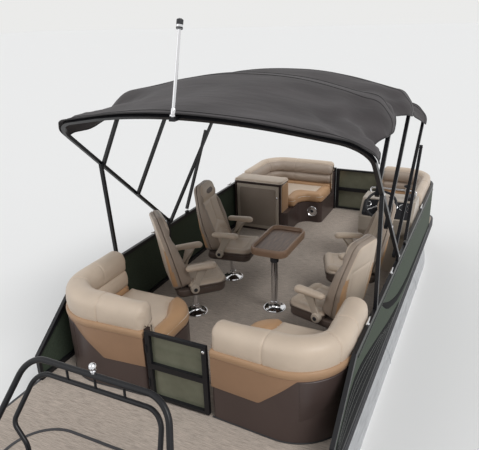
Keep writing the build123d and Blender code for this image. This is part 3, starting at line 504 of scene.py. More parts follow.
def closed_normals(loop):
    """The inward normal at each point of a closed 2-D loop."""
    area = sum(a[0] * b[1] - b[0] * a[1] for a, b in zip(loop, loop[1:] + loop[:1]))
    way = 1 if area > 0 else -1
    normals = []
    for index in range(len(loop)):
        run = (loop[(index + 1) % len(loop)] - loop[index - 1]).normalized()
        normals.append(Vector((-run[1], run[0])) * way)
    return normals


# Points of each pad that are sewn down, by the pad's name

sewn_points = {}
swell_pressure = 4
swell_frames = 20


def swell(pieces, reach):
    """Cloth under pressure fills pads between the points that are sewn down; none moves past a reach."""
    trials = []
    for piece in pieces:
        trial = bpy.data.objects.new(f"{piece.name}_trial", piece.data.copy())
        scene.collection.objects.link(trial)
        trial.vertex_groups.new(name="sewn").add(sorted(sewn_points[piece.name]), 1.0, "REPLACE")
        cloth = trial.modifiers.new("cloth", "CLOTH")
        cloth.settings.vertex_group_mass = "sewn"
        cloth.settings.use_pressure = True
        cloth.settings.uniform_pressure_force = swell_pressure
        cloth.settings.effector_weights.gravity = 0
        cloth.point_cache.frame_end = swell_frames
        trials.append(trial)
    for step in range(1, swell_frames + 1):
        scene.frame_set(step)
    graph = bpy.context.evaluated_depsgraph_get()
    for piece, trial in zip(pieces, trials):
        count = len(piece.data.vertices)
        start, moved = np.empty(count * 3), np.empty(count * 3)
        piece.data.vertices.foreach_get("co", start)
        shown = trial.evaluated_get(graph)
        shown.data.vertices.foreach_get("co", moved)
        shift = (moved - start).reshape(-1, 3)
        length = np.linalg.norm(shift, axis=1, keepdims=True) + 1e-9
        shift *= reach * np.tanh(length / reach) / length
        piece.data.vertices.foreach_set("co", (start.reshape(-1, 3) + shift).ravel())
        piece.data.update()
    for trial in trials:
        mesh = trial.data
        bpy.data.objects.remove(trial)
        bpy.data.meshes.remove(mesh)
    scene.frame_set(1)


def roll(name, line, section, materials, body, seams=(), end=0.05, depth=0.006, widen=None):
    """A padded section carried along a plan line, inwards and up, drawn in at its seams and ends."""
    parts = 4
    loop = curved([point[:2] for point in section], parts)
    marks = [point[2] for point in section for part in range(parts)]
    normals = closed_normals(loop)
    total = lengths(line)
    stops = set()
    count = math.ceil(total[-1] / 0.03)
    stops.update(total[-1] * index / count for index in range(count + 1))
    for index in range(8):
        share = end * (1 - math.cos(math.pi / 2 * index / 7))
        stops.update((share, total[-1] - share))
    for seam in seams:
        stops.update(seam + offset for offset in (-0.016, -0.009, -0.004, 0, 0.004, 0.009, 0.016))
    rings = []
    for stop in sorted(stops):
        here = along(line, total, stop)
        run = (along(line, total, stop + 0.012) - along(line, total, stop - 0.012)).normalized()
        inward = Vector((-run[1], run[0]))
        draw = sum(depth * math.exp(-(((stop - seam) / 0.007) ** 2)) for seam in seams)
        for gap in (stop, total[-1] - stop):
            if gap < end:
                draw += end - math.sqrt(max(end**2 - (end - gap) ** 2, 0))
        stretch = widen(stop / total[-1]) if widen else 1
        ring = []
        for point, normal in zip(loop, normals):
            deep = (point[0] + normal[0] * draw) * stretch
            high = point[1] + normal[1] * draw
            ring.append(Vector((here[0] + inward[0] * deep, here[1] + inward[1] * deep, high)))
        rings.append(ring)
    points, faces = bridged(rings)
    bottom = min(point[1] for point in loop) + 0.012
    sewn = []
    for column, point in enumerate(loop):
        if point[1] < bottom or marks[column] != marks[column - 1]:
            sewn.append(column)
    sewn_points[name] = set()
    for row, stop in enumerate(sorted(stops)):
        at_seam = any(abs(stop - seam) < 0.005 for seam in seams)
        held = range(len(loop)) if at_seam else sewn
        sewn_points[name].update(row * len(loop) + column for column in held)
    face_marks = [marks[index % len(loop)] for index in range(len(faces) - 2)] + [marks[0], marks[0]]
    return add_piece(name, points, faces, materials, body, face_marks)


def offset_outline(outline, distance):
    """A closed plan outline, anticlockwise, drawn in by a distance."""
    moved = []
    for index, here in enumerate(outline):
        first = (here - outline[index - 1]).normalized()
        second = (outline[(index + 1) % len(outline)] - here).normalized()
        one, other = Vector((-first[1], first[0])), Vector((-second[1], second[0]))
        moved.append(here + (one + other) * (distance / max(1 + one.dot(other), 0.3)))
    return moved


def edge_distance(spots, outline):
    """How far each spot is inside an outline, negative outside it."""
    nearest = np.full(len(spots), 1e9)
    inside = np.zeros(len(spots), bool)
    for first, second in zip(outline, outline[1:] + outline[:1]):
        a, b = np.array(first), np.array(second)
        run = b - a
        share = np.clip(((spots - a) @ run) / (run @ run), 0, 1)
        nearest = np.minimum(nearest, np.linalg.norm(spots - a - share[:, None] * run, axis=1))
        crosses = (a[1] > spots[:, 1]) != (b[1] > spots[:, 1])
        if crosses.any():
            at = a[0] + (spots[:, 1] - a[1]) * run[0] / (run[1] if run[1] else 1e-12)
            inside ^= crosses & (spots[:, 0] < at)
    return np.where(inside, nearest, -nearest)


def pad(name, outline, low, high, materials, body, edge=0.03, crown=0.02, bulge=0.006, **options):
    """A cushion: crowned top, rounded edge, sides that swell and draw in below."""
    relief = options.get("relief") or (lambda x, y: 0.0)
    region = options.get("region") or (lambda x, y, z: 0)
    step = options.get("step", 0.014)
    place = options.get("place") or Matrix()
    side_top = high - edge
    levels = [(0.014, low, 0), (0.003, low + 0.008, 0)]
    levels += [(-bulge * math.sin(math.pi * t), low + (side_top - low) * t, 0) for t in (0.3, 0.55, 0.8)]
    for turn in range(7):
        angle = math.pi / 2 * turn / 6
        levels.append((edge * (1 - math.cos(angle)), side_top + edge * math.sin(angle), math.sin(angle)))
    rings = []
    for distance, height, share in levels:
        ring = offset_outline(outline, distance)
        rings.append([Vector((x, y, height + relief(x, y) * share)) for x, y in ring])
    points, faces = bridged(rings, caps=False)
    size = len(outline)
    faces.append(tuple(reversed(range(size))))
    sewn = set(range(2 * size))
    rim = [Vector(point[:2]) for point in rings[-1]]
    low_x, high_x = min(p[0] for p in rim), max(p[0] for p in rim)
    low_y, high_y = min(p[1] for p in rim), max(p[1] for p in rim)
    grid_x, grid_y = np.meshgrid(np.arange(low_x, high_x, step), np.arange(low_y, high_y, step))
    grid_x[1::2] += step / 2
    spots = np.column_stack([grid_x.ravel(), grid_y.ravel()])
    spots = spots[edge_distance(spots, rim) > step * 0.45]
    inner = rim + [Vector(spot) for spot in spots]
    ring_edges = [(index, (index + 1) % size) for index in range(size)]
    found = delaunay_2d_cdt(inner, ring_edges, [], 1, 1e-6)
    made, top_faces, sources = found[0], found[2], found[3]
    depth_in = edge_distance(np.array([tuple(p) for p in made]), [Vector(p) for p in outline])
    start = len(points)
    reach = 0.012
    lookup = []
    for index, spot in enumerate(made):
        source = sources[index][0] if sources[index] else -1
        if 0 <= source < size:
            lookup.append((len(rings) - 1) * size + source)
            continue
        rise = crown * (1 - math.exp(-max(depth_in[index] - edge, 0) / 0.07))
        around = ((reach, 0), (-reach, 0), (0, reach), (0, -reach))
        beside = sum(relief(spot[0] + x, spot[1] + y) for x, y in around)
        if relief(spot[0], spot[1]) < beside / 4 - 0.0012:
            sewn.add(start)
        lookup.append(start)
        points.append(Vector((spot[0], spot[1], high + rise + relief(spot[0], spot[1]))))
        start += 1
    faces += [tuple(lookup[index] for index in face) for face in top_faces]
    marks = []
    for face in faces:
        middle = sum((Vector(points[index]) for index in face), Vector((0, 0, 0))) / len(face)
        marks.append(region(*middle))
    sewn_points[name] = sewn
    return add_piece(name, [place @ Vector(point) for point in points], faces, materials, body, marks, 50)


def piping(name, outline, inset, height, radius, material, body, place=None):
    """Welt cord sewn round the edge of a cushion."""
    ring = offset_outline(outline, inset)
    spots = [Vector((x, y, height)) for x, y in ring]
    if place:
        spots = [place @ spot for spot in spots]
    return tube(name, spots, radius, material, body, 6, True)


def groove(x, y, lines, width, depth):
    """How far a sewn line draws the surface down at a spot."""
    draw = 0.0
    for ax, ay, bx, by in lines:
        run_x, run_y = bx - ax, by - ay
        share = min(max(((x - ax) * run_x + (y - ay) * run_y) / (run_x**2 + run_y**2), 0), 1)
        gap = math.hypot(x - ax - share * run_x, y - ay - share * run_y)
        draw = max(draw, depth * math.exp(-((gap / width) ** 2)))
    return -draw


def smooth_step(value, low, high):
    """0 below low, 1 above high, and smooth between."""
    share = min(max((value - low) / (high - low), 0), 1)
    return share * share * (3 - 2 * share)


def rectangle(low, high, radii, step=0.02):
    """A closed outline between two opposite corners, its own corners rounded."""
    return rounded([low, (high[0], low[1]), high, (low[0], high[1])], radii, step, True)


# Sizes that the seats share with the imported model

pod_inner, pod_outer = 0.292, 1.253
pod_aft, pod_bow = -1.76, -0.90
stern_seat_aft, stern_seat_outer = -1.549, 1.042
lid_low = 0.803


# Stern seats: a rolled backrest, a lower back with a tan foot, and a cushion with a rolled front

stern_line = rounded(
    [(pod_inner, pod_aft), (pod_outer, pod_aft - 0.06), (pod_outer, pod_bow)], [0, 0.43, 0], 0.03
)
roll_section = [
    # inward, height, material
    (0.020, 1.096, 0),
    (0.006, 1.130, 0),
    (0.004, 1.200, 0),
    (0.016, 1.262, 0),
    (0.060, 1.299, 0),
    (0.120, 1.304, 0),
    (0.172, 1.283, 0),
    (0.200, 1.230, 0),
    (0.198, 1.160, 0),
    (0.180, 1.108, 0),
    (0.100, 1.092, 0),
]
lower_section = [
    (0.116, 1.112, 0),
    (0.160, 1.112, 0),
    (0.190, 1.085, 0),
    (0.203, 1.030, 0),
    (0.196, 0.965, 0),
    (0.180, 0.944, 1),
    (0.196, 0.925, 1),
    (0.200, 0.880, 1),
    (0.185, 0.838, 1),
    (0.140, 0.828, 1),
    (0.114, 0.850, 0),
    (0.114, 0.980, 0),
]


def corner_widen(share):
    """The aft run thickens towards its corner, as its inner face is square to the boat."""
    return 1 + 0.20 * smooth_step(share, 0.05, 0.33) * (1 - smooth_step(share, 0.42, 0.68))


stern_seams, lower_seams = (0.42, 1.02, 1.33), (0.42, 1.33)
seat_outline = rectangle(
    (pod_inner, stern_seat_aft), (stern_seat_outer, pod_bow), [0.04, 0.219, 0.02, 0.26]
)


def bolster_edge(y):
    """Where the tan front of the seat meets the cream middle, from the inner side."""
    share = smooth_step(y, -1.30, -0.98)
    return pod_inner + 0.125 + 0.115 * share


def stern_relief(x, y):
    """The rolled front stands over the middle, with a sewn line between."""
    edge = bolster_edge(y)
    shoulder = smooth_step(x, pod_inner - 0.02, pod_inner + 0.06)
    roll_rise = 0.022 * (1 - smooth_step(x, edge - 0.03, edge)) * shoulder
    seam = -0.010 * math.exp(-(((x - edge) / 0.010) ** 2))
    return roll_rise + seam


def stern_region(x, y, z):
    """Cream middle, tan front and sides."""
    return 0 if x > bolster_edge(y) and z > 0.905 else 1


def dress_stern(side_name, backrest, lower, cushion):
    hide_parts(f"stern_backrest_{side_name}")
    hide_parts(f"stern_seat_{side_name}")


backrest = roll("stern_backrest_roll_starboard", stern_line, roll_section, [mat_cream], "hull",
                stern_seams, 0.05, widen=corner_widen)
lower = roll("stern_backrest_lower_starboard", stern_line, lower_section, [mat_cream, mat_tan], "hull",
             lower_seams, 0.03, 0.004, corner_widen)
cushion = pad("stern_cushion_starboard", seat_outline, lid_low, 0.928, [mat_cream, mat_tan],
              "stern_seat_starboard", 0.034, 0.012, relief=stern_relief, region=stern_region)
swell([backrest, lower, cushion], 0.006)
dress_stern("starboard", backrest, lower, cushion)
dress_stern(
    "port",
    copy_piece(backrest, "stern_backrest_roll_port", across, "hull"),
    copy_piece(lower, "stern_backrest_lower_port", across, "hull"),
    copy_piece(cushion, "stern_cushion_port", across, "stern_seat_port"),
)


# Bow seats

lounge_stern, lounge_bow = 1.85, 3.058
starboard_inner = 0.579
port_head, port_aisle, port_stern = -0.164, -0.473, 2.110
step_y = lounge_bow - 0.64
back_in = 0.181
lid_bow = lounge_bow - back_in - 0.012
lid_outer = pod_outer - back_in
front_seam = 0.135
back_section = [
    (0.016, 1.094, 0),
    (0.004, 1.130, 0),
    (0.004, 1.215, 0),
    (0.016, 1.254, 0),
    (0.048, 1.268, 0),
    (0.082, 1.262, 0),
    (0.104, 1.240, 0),
    # The rows with material 2 give the inner face cream vinyl with painted shade
    (0.112, 1.222, 2),
    (0.150, 1.190, 2),
    (0.165, 1.150, 2),
    (0.160, 1.100, 2),
    (0.136, 1.074, 2),
    (0.168, 1.046, 2),
    (0.175, 1.010, 2),
    (0.166, 0.968, 2),
    (0.142, 0.948, 1),
    (0.168, 0.926, 1),
    (0.172, 0.880, 1),
    (0.150, 0.836, 1),
    (0.116, 0.832, 1),
    (0.113, 0.960, 0),
    (0.113, 1.080, 0),
]
for side_name, side, inner, aft, seam_shares in (
    ("starboard", 1, starboard_inner, lounge_stern, (0.36, 0.69)),
    ("port", -1, port_head, port_stern, (0.31, 0.62)),
):
    corners = [(side * pod_outer, aft), (side * pod_outer, lounge_bow), (inner, lounge_bow)]
    line = rounded(corners[::side], [0, 0.38, 0], 0.03)
    run = lengths(line)[-1]
    backrest = roll(f"bow_backrest_pad_{side_name}", line, back_section, [mat_cream, mat_tan, mat_cream_painted_shade],
                    "hull", [run * share for share in seam_shares], 0.055, 0.005)
    swell([backrest], 0.005)
    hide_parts(f"bow_backrest_{side_name}")

starboard_outline = rectangle((starboard_inner, lounge_stern), (lid_outer, lid_bow), [0.16, 0.03, 0.19, 0.03])
port_outline = rounded(
    [
        (-lid_outer, port_stern),
        (port_aisle, port_stern),
        (port_aisle, step_y),
        (port_head, step_y),
        (port_head, lid_bow),
        (-lid_outer, lid_bow),
    ],
    [0.02, 0.05, 0.16, 0.06, 0.03, 0.19],
    0.02,
    True,
)


def front_roll(distance):
    """The rolled front edge of a bow seat, by distance in from its free edge."""
    raised = 0.014 * (1 - smooth_step(distance, 0.10, 0.13))
    return raised - 0.009 * math.exp(-(((distance - front_seam) / 0.010) ** 2))


def starboard_gap(x, y):
    """Distance in from the free sides of the starboard bow seat."""
    return min(x - starboard_inner, y - lounge_stern)


def port_gap(x, y):
    """Distance in from the free sides of the port bow seat."""
    aisle = port_aisle - x if y < step_y else 1.0
    if x > port_aisle:
        foot = y - step_y
    elif y > step_y:
        foot = math.hypot(min(x - port_aisle, 0), y - step_y)
    else:
        foot = 1.0
    return min(aisle, foot, port_head - x)


for name, outline, gap in (
    ("starboard", starboard_outline, starboard_gap),
    ("port", port_outline, port_gap),
):
    cushion = pad(
        f"bow_cushion_{name}", outline, lid_low, 0.916, [mat_cream, mat_tan], f"bow_seat_{name}", 0.034,
        0.010,
        relief=lambda x, y, gap=gap: front_roll(gap(x, y)),
        region=lambda x, y, z, gap=gap: 0 if gap(x, y) > front_seam and z > 0.89 else 1,
    )
    swell([cushion], 0.005)
    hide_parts(f"bow_seat_{name}")


# Chairs, made once facing starboard about their own post, and set out four times

back_foot, back_head = 0.90, 1.635
lean = math.atan2(0.18, back_head - back_foot)
back_outline = rounded(
    [(-0.205, 0.0), (0.205, 0.0), (0.252, 0.30), (0.240, 0.46), (0.158, 0.745), (-0.158, 0.745),
     (-0.240, 0.46), (-0.252, 0.30)],
    [0.06, 0.06, 0.30, 0.30, 0.085, 0.085, 0.30, 0.30],
    0.02,
    True,
)
# columns: across the chair, up its back, out of its front
back_place = Matrix(
    (
        (0, -math.sin(lean), math.cos(lean), -0.169),
        (1, 0, 0, 0),
        (0, math.cos(lean), math.sin(lean), back_foot),
        (0, 0, 0, 1),
    )
)
back_seams = [
    (-0.165, 0.02, -0.180, 0.50),
    (0.165, 0.02, 0.180, 0.50),
    (-0.220, 0.555, 0.220, 0.555),
    (-0.165, 0.22, 0, 0.31),
    (0.165, 0.22, 0, 0.31),
    (-0.165, 0.12, 0, 0.21),
    (0.165, 0.12, 0, 0.21),
    (0, 0.31, 0, 0.555),
]


def back_relief(x, y):
    """Sewn lines, side wings, a deep foot and a raised head roll."""
    foot = 0.042 * (1 - smooth_step(y, 0.0, 0.50))
    head = 0.016 * smooth_step(y, 0.56, 0.62) * (1 - 0.5 * smooth_step(y, 0.70, 0.745))
    wings = 0.020 * smooth_step(abs(x), 0.165, 0.195) * (1 - smooth_step(y, 0.46, 0.54))
    return foot + head + wings + groove(x, y, back_seams, 0.008, 0.011)


def back_region(x, y, z):
    """Cream front, wings in cream with painted shade, and a brown patch in the head roll."""
    if z < 0.048 or abs(x) > 0.178 or y < 0.03:
        return 3
    if (x / 0.085) ** 2 + ((y - 0.650) / 0.030) ** 2 < 1:
        return 2
    return 0


def rear_relief(x, y):
    """The rear of the back: thicker at its foot, with two sewn lines."""
    lines = [(-0.16, 0.10, 0.16, 0.10), (-0.17, 0.50, 0.17, 0.50), (-0.125, 0.10, -0.150, 0.50),
             (0.125, 0.10, 0.150, 0.50)]
    return 0.036 * (1 - smooth_step(y, 0.0, 0.55)) + groove(x, y, lines, 0.008, 0.006)


def rear_region(x, y, z):
    """Wings in cream with painted shade, a tan stripe along their rear edge and a cream rear."""
    if z < 0.030 or y < 0.06:
        return 2
    edge = 0.168 + 0.05 * y
    return 1 if abs(x) > edge and 0.06 < y < 0.46 else 0


pan_outline = rectangle((-0.214, -0.238), (0.266, 0.238), [0.06, 0.08, 0.08, 0.06])
top_outline = rectangle((-0.100, -0.240), (0.280, 0.240), [0.03, 0.085, 0.085, 0.03])


def seat_relief(x, y):
    """A dished seat with a rolled front and a sewn middle."""
    dish = -0.012 * math.exp(-(((x - 0.07) / 0.11) ** 2) - (y / 0.16) ** 2)
    front = 0.012 * smooth_step(x, 0.17, 0.24)
    lines = [(-0.10, -0.15, 0.19, -0.15), (-0.10, 0.15, 0.19, 0.15), (0.19, -0.15, 0.19, 0.15)]
    return dish + front + groove(x, y, lines, 0.008, 0.009)


# columns: along the chair, up, out to one side
side_place = Matrix(((1, 0, 0, 0), (0, 0, 1, 0), (0, 1, 0, 0), (0, 0, 0, 1)))
stay_outline = rounded(
    [(-0.096, 0.905), (-0.069, 0.878), (-0.024, 0.895), (0.012, 0.985), (0.088, 1.112), (-0.020, 1.112),
     (-0.047, 1.010)],
    [0.03, 0.03, 0.03, 0.10, 0.01, 0.02, 0.10],
    0.012,
    True,
)
arm_low, arm_high = -0.134, 0.169
arm_out, arm_rise = 0.264, 1.131
arm_steps, arm_sides = 24, 20
hub_x, hub_z = -0.054, 0.910


def arm_rings(hand):
    """Rings of a padded armrest, fuller at its front, with rounded ends."""
    rings = []
    for index in range(arm_steps + 1):
        share = index / arm_steps
        x = arm_low + (arm_high - arm_low) * (1 - math.cos(math.pi * share)) / 2
        fall = min(x - arm_low, arm_high - x)
        end = math.sqrt(max(1 - (1 - min(fall / 0.040, 1)) ** 2, 0.0008))
        wide = (0.037 + 0.007 * smooth_step(share, 0.35, 0.8)) * end
        tall = (0.026 + 0.004 * smooth_step(share, 0.3, 0.8)) * end
        rise = 0.004 * math.sin(math.pi * share)
        ring = []
        for turn in range(arm_sides):
            angle = math.tau * turn / arm_sides
            c, d = math.cos(angle), math.sin(angle)
            y = hand * arm_out + wide * math.copysign(abs(c) ** 0.75, c)
            ring.append(Vector((x, y, arm_rise + rise + tall * math.copysign(abs(d) ** 0.75, d))))
        rings.append(ring)
    return rings


def hub_line(hand, distances):
    """Points straight out from a chair's side at its hub."""
    return [(hub_x, hand * y, hub_z) for y in distances]


chair_back = pad("chair_1_back_pad", back_outline, 0.002, 0.058, [mat_cream, mat_tan, mat_brown, mat_cream_painted_shade],
                 "chair_1", 0.028, 0.006, 0.003, relief=back_relief, region=back_region, step=0.011,
                 place=back_place)
chair_seat = pad("chair_1_seat_pad", top_outline, 0.886, 0.950, [mat_cream, mat_brown], "chair_1",
                 0.030, 0.010, 0.005, relief=seat_relief, region=lambda x, y, z: int(z < 0.926), step=0.013)
swell([chair_back, chair_seat], 0.007)
rear_place = back_place @ Matrix.Scale(-1, 4, (0, 0, 1))
chair_shell = pad("chair_1_shell", offset_outline(back_outline, 0.004), -0.002, 0.036,
                  [mat_cream, mat_tan, mat_cream_painted_shade], "chair_1", 0.024, 0.004, 0.002, relief=rear_relief,
                  region=rear_region, step=0.014, place=rear_place)
chair_pan = pad("chair_1_pan", pan_outline, 0.820, 0.896, mat_brown, "chair_1", 0.012, 0.0, 0.007, step=0.03)
# Both chair welts take the cream vinyl with painted shade
welt = piping("chair_1_seat_welt", top_outline, -0.003, 0.928, 0.0038, mat_cream_painted_shade, "chair_1")
back_welt = piping("chair_1_back_welt", back_outline, 0.001, 0.000, 0.0036, mat_cream_painted_shade, "chair_1",
                   place=back_place)
chair_parts = [("back_pad", chair_back), ("seat_pad", chair_seat), ("shell", chair_shell), ("pan", chair_pan),
               ("seat_welt", welt), ("back_welt", back_welt)]
for hand, hand_name in ((1, "left"), (-1, "right")):
    arm = add_piece(f"chair_1_arm_{hand_name}", *bridged(arm_rings(hand)), mat_cream, "chair_1")
    stay = pad(f"chair_1_stay_{hand_name}", stay_outline, 0.243, 0.266, mat_beige, "chair_1", 0.007, 0.0, 0.0,
               step=0.02, place=Matrix.Scale(hand, 4, (0, 1, 0)) @ side_place)
    hub = tube(f"chair_1_hub_{hand_name}", hub_line(hand, (0.238, 0.270, 0.284, 0.288)),
               stepped(0.043, 0.045, 0.040, 0.026), mat_beige, "chair_1", 24)
    cap = tube(f"chair_1_cap_{hand_name}", hub_line(hand, (0.284, 0.291, 0.293)),
               stepped(0.019, 0.019, 0.013), mat_grip, "chair_1", 20)
    chair_parts += [(f"arm_{hand_name}", arm), (f"stay_{hand_name}", stay), (f"hub_{hand_name}", hub),
                    (f"cap_{hand_name}", cap)]

# columns: x, y, heading in degrees
chair_places = [(-0.600, -0.450, 44), (-0.590, 0.400, 7), (0.790, -0.460, 164), (0.795, 0.392, 200)]


def chair_matrix(number):
    """What carries a chair from its own post to the place of a chair, by number."""
    x, y, heading = chair_places[number - 1]
    return Matrix.Translation((x, y, 0)) @ Matrix.Rotation(math.radians(heading), 4, "Z")


placed = []
for number in (2, 3, 4):
    for part_name, piece in chair_parts:
        twin = copy_piece(piece, f"chair_{number}_{part_name}", chair_matrix(number), f"chair_{number}")
        placed.append((number, part_name, twin))
for part_name, piece in chair_parts:
    piece.data.transform(chair_matrix(1))
    placed.append((1, part_name, piece))
for number, part_name, piece in placed:
    if part_name == "seat_pad":
        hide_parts(f"chair_{number}_cushion")
    if part_name == "pan":
        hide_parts(f"chair_{number}_frame")


# Stern shells: a padded rim, and a lighter panel whose lower edge drops to a point


def shell_panel(name, line, span, low, high, proud, material, body, step=0.02):
    """A thin raised panel on a shell, between two heights that change along it."""
    total = lengths(line)
    count = max(2, math.ceil((span[1] - span[0]) / step))
    rings = []
    for index in range(count + 1):
        distance = span[0] + (span[1] - span[0]) * index / count
        here = along(line, total, distance)
        run = (along(line, total, distance + 0.01) - along(line, total, distance - 0.01)).normalized()
        outward = Vector((run[1], -run[0]))
        bottom, top = low(distance), high(distance)
        soft = min(0.006, (top - bottom) / 3)
        rings.append(
            [
                Vector((here[0] + outward[0] * out, here[1] + outward[1] * out, height))
                for out, height in (
                    (-0.004, bottom),
                    (proud - 0.002, bottom),
                    (proud, bottom + soft),
                    (proud, (bottom + top) / 2),
                    (proud, top - soft),
                    (-0.004, top),
                )
            ]
        )
    return add_piece(name, *bridged(rings), material, body)


def through(knots):
    """A height that runs straight from knot to knot."""

    def height(distance):
        for (start, low), (stop, high) in zip(knots, knots[1:]):
            if distance <= stop:
                return low + (high - low) * (distance - start) / (stop - start)
        return knots[-1][1]

    return height


def level(height):
    """The same height all along."""
    return lambda distance: height


band_section = [
    (0.014, 1.046, 0),
    (-0.004, 1.054, 0),
    (-0.010, 1.074, 0),
    (-0.009, 1.096, 0),
    (0.004, 1.112, 0),
    (0.030, 1.116, 0),
    (0.034, 1.080, 0),
]
stern_run = lengths(stern_line)[-1]
drop = through([(0, 0.792), (0.395, 0.785), (0.68, 1.040), (1.05, 1.046), (1.8, 1.046)])
crease = through([(0.70, 0.70), (0.95, 0.80), (1.40, 0.99)])


def cheek_top(distance):
    """The dark cheek reaches up to the panel's lower edge, and has a least height."""
    return max(drop(distance) - 0.006, crease(distance) + 0.01)


stern_trim = [
    roll("stern_rim_starboard", stern_line, band_section, [mat_rim], "hull", end=0.012),
    shell_panel("stern_panel_starboard", stern_line, (0.004, stern_run - 0.01), drop, level(1.058), 0.0030,
                mat_panel, "hull"),
    shell_panel("stern_cheek_starboard", stern_line, (0.70, 1.38), crease, cheek_top, 0.0024,
                mat_shell, "hull"),
    tube("stern_foot_starboard", [(*spot, 0.508) for spot in stern_line], 0.006, mat_grip, "hull", 6),
]


def mirror_pieces(pieces):
    """Copy starboard pieces of the hull to port."""
    for piece in pieces:
        copy_piece(piece, piece.name.replace("starboard", "port"), across, "hull")


mirror_pieces(stern_trim)


# Welts of the seat cushions, the cabinet's padded cap, side and door, and two speakers

cabinet_outer, cabinet_inner, cap_overhang = -1.251, -0.563, 0.012
cap_stern, cap_bow = 1.843, 2.108
for side_name, outline in (("starboard", starboard_outline), ("port", port_outline)):
    piping(f"bow_cushion_welt_{side_name}", outline, 0.002, 0.886, 0.004, mat_piping, f"bow_seat_{side_name}")
stern_welt = piping("stern_cushion_welt_starboard", seat_outline, 0.001, 0.894, 0.004, mat_piping,
                    "stern_seat_starboard")
copy_piece(stern_welt, "stern_cushion_welt_port", across, "stern_seat_port")

cap_outline = rectangle(
    (cabinet_outer, cap_stern), (cabinet_inner + cap_overhang, cap_bow), [0.02, 0.05, 0.02, 0.02]
)
cap_pad = pad("cabinet_cap", cap_outline, 1.196, 1.232, [mat_cream], "hull", 0.016, 0.006, 0.004, step=0.03)
swell([cap_pad], 0.004)
piping("cabinet_cap_welt", cap_outline, -0.003, 1.206, 0.004, mat_piping, "hull")
side_panel_outline = rectangle((1.862, 0.560), (2.098, 1.180), [0.03, 0.03, 0.05, 0.05])
# columns: along the boat, up, out to starboard
starboard_face = Matrix(((0, 0, 1, 0), (1, 0, 0, 0), (0, 1, 0, 0), (0, 0, 0, 1)))
side_panel = pad("cabinet_side_pad", side_panel_outline, -0.564, -0.546, [mat_tan], "hull", 0.010, 0.004, 0.0,
                 step=0.03, place=starboard_face)
piping("cabinet_side_welt", side_panel_outline, 0.002, -0.558, 0.004, mat_piping, "hull",
       place=starboard_face)

# columns: across, up, out towards the stern
stern_face = Matrix(((1, 0, 0, 0), (0, 0, -1, 0), (0, 1, 0, 0), (0, 0, 0, 1)))
door_low, door_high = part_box("cabinet_door")
door_margin = 0.045
door_outline = rectangle(
    (door_low.x + door_margin, door_low.z + door_margin),
    (door_high.x - door_margin, door_high.z - door_margin),
    0.03,
)
pad("cabinet_door_field", door_outline, -door_low.y - 0.001, -door_low.y + 0.004, mat_pan, "cabinet_door",
    0.003, 0.0, 0.0, step=0.04, place=stern_face)
latch = [(door_high.x - 0.022, door_low.y - out, 1.0) for out in (0.0, 0.006, 0.010)]
tube("cabinet_latch", latch, stepped(0.014, 0.014, 0.008), mat_chrome, "cabinet_door", 16)


def speaker(name, centre, facing, radius, body):
    """A round speaker: chrome ring, dark cone and a small dome."""
    ring = [(-0.002, 1.0), (0.010, 1.0), (0.014, 0.95), (0.014, 0.90), (0.008, 0.84)]
    cone = [(0.0, 0.85), (0.0085, 0.85), (0.004, 0.62), (0.0025, 0.36), (0.009, 0.30), (0.013, 0.18),
            (0.0145, 0.04)]
    spun(f"{name}_ring", centre, facing, [(out, radius * size) for out, size in ring], mat_chrome, body)
    spun(f"{name}_cone", centre, facing, [(out, radius * size) for out, size in cone], mat_grip, body)


speaker_height, speaker_radius = 0.665, 0.075
astern = (0, -1, 0)
speaker("port_speaker", (-0.30, step_y, speaker_height), astern, speaker_radius, "hull")
speaker("starboard_speaker", (0.80, lounge_stern, speaker_height), astern, speaker_radius, "hull")


# Helm: dash panel, gauges, throttle and wheel

dash_slope = math.atan2(0.17, 0.18)
dash_up = Vector((0, math.cos(dash_slope), math.sin(dash_slope)))
dash_out = Vector((0, -math.sin(dash_slope), math.cos(dash_slope)))
dash_origin = Vector((0.958, 1.150, 1.170))
dash_place = Matrix(
    (
        (1, dash_up.x, dash_out.x, dash_origin.x),
        (0, dash_up.y, dash_out.y, dash_origin.y),
        (0, dash_up.z, dash_out.z, dash_origin.z),
        (0, 0, 0, 1),
    )
)
dash_outline = rectangle((-0.27, 0.018), (0.27, 0.232), 0.03)
pad("dash_panel", dash_outline, -0.002, 0.008, mat_dash, "hull", 0.005, 0.002, 0.0, step=0.05,
    place=dash_place)
gauges = [
    # across and up the dash, radius
    (0.075, 0.165, 0.038),
    (0.165, 0.165, 0.038),
    (0.236, 0.185, 0.022),
    (0.236, 0.130, 0.022),
    (-0.215, 0.165, 0.034),
]
for index, (x, y, radius) in enumerate(gauges):
    middle = dash_place @ Vector((x, y, 0))
    bezel = [(0.004, radius), (0.014, radius), (0.016, radius * 0.9), (0.012, radius * 0.82)]
    face = [(0.004, radius * 0.8), (0.0135, radius * 0.8), (0.0145, radius * 0.3)]
    spun(f"gauge_{index + 1}", middle, dash_out, bezel, mat_chrome, "hull", 24)
    spun(f"gauge_{index + 1}_face", middle, dash_out, face, mat_grip, "hull", 24)
for index in (0, 1, 4, 5):
    shift = 0.040 * index
    outline = rectangle((-0.262 + shift, 0.045), (-0.234 + shift, 0.085), 0.004)
    pad(f"switch_{index + 1}", outline, 0.004, 0.018, mat_grip, "hull", 0.004, 0.002, 0.0, step=0.03,
        place=dash_place)
pad("throttle_base", rectangle((1.150, 1.360), (1.220, 1.520), 0.02), 1.336, 1.385, mat_grip, "hull", 0.014,
    0.006, 0.0, step=0.03)
lever_line = [(1.150, 1.440, 1.368), (1.128, 1.444, 1.384), (1.124, 1.410, 1.450), (1.130, 1.385, 1.500)]
tube("throttle_lever", curved(lever_line, 6, False), 0.008, mat_chrome, "hull", 10)
grip_line = [(1.105, 1.384, 1.503), (1.130, 1.383, 1.505), (1.160, 1.383, 1.505), (1.180, 1.384, 1.503)]
tube("throttle_grip", grip_line, lambda t: 0.018 - 0.010 * abs(2 * t - 1) ** 4, mat_grip, "hull", 14)
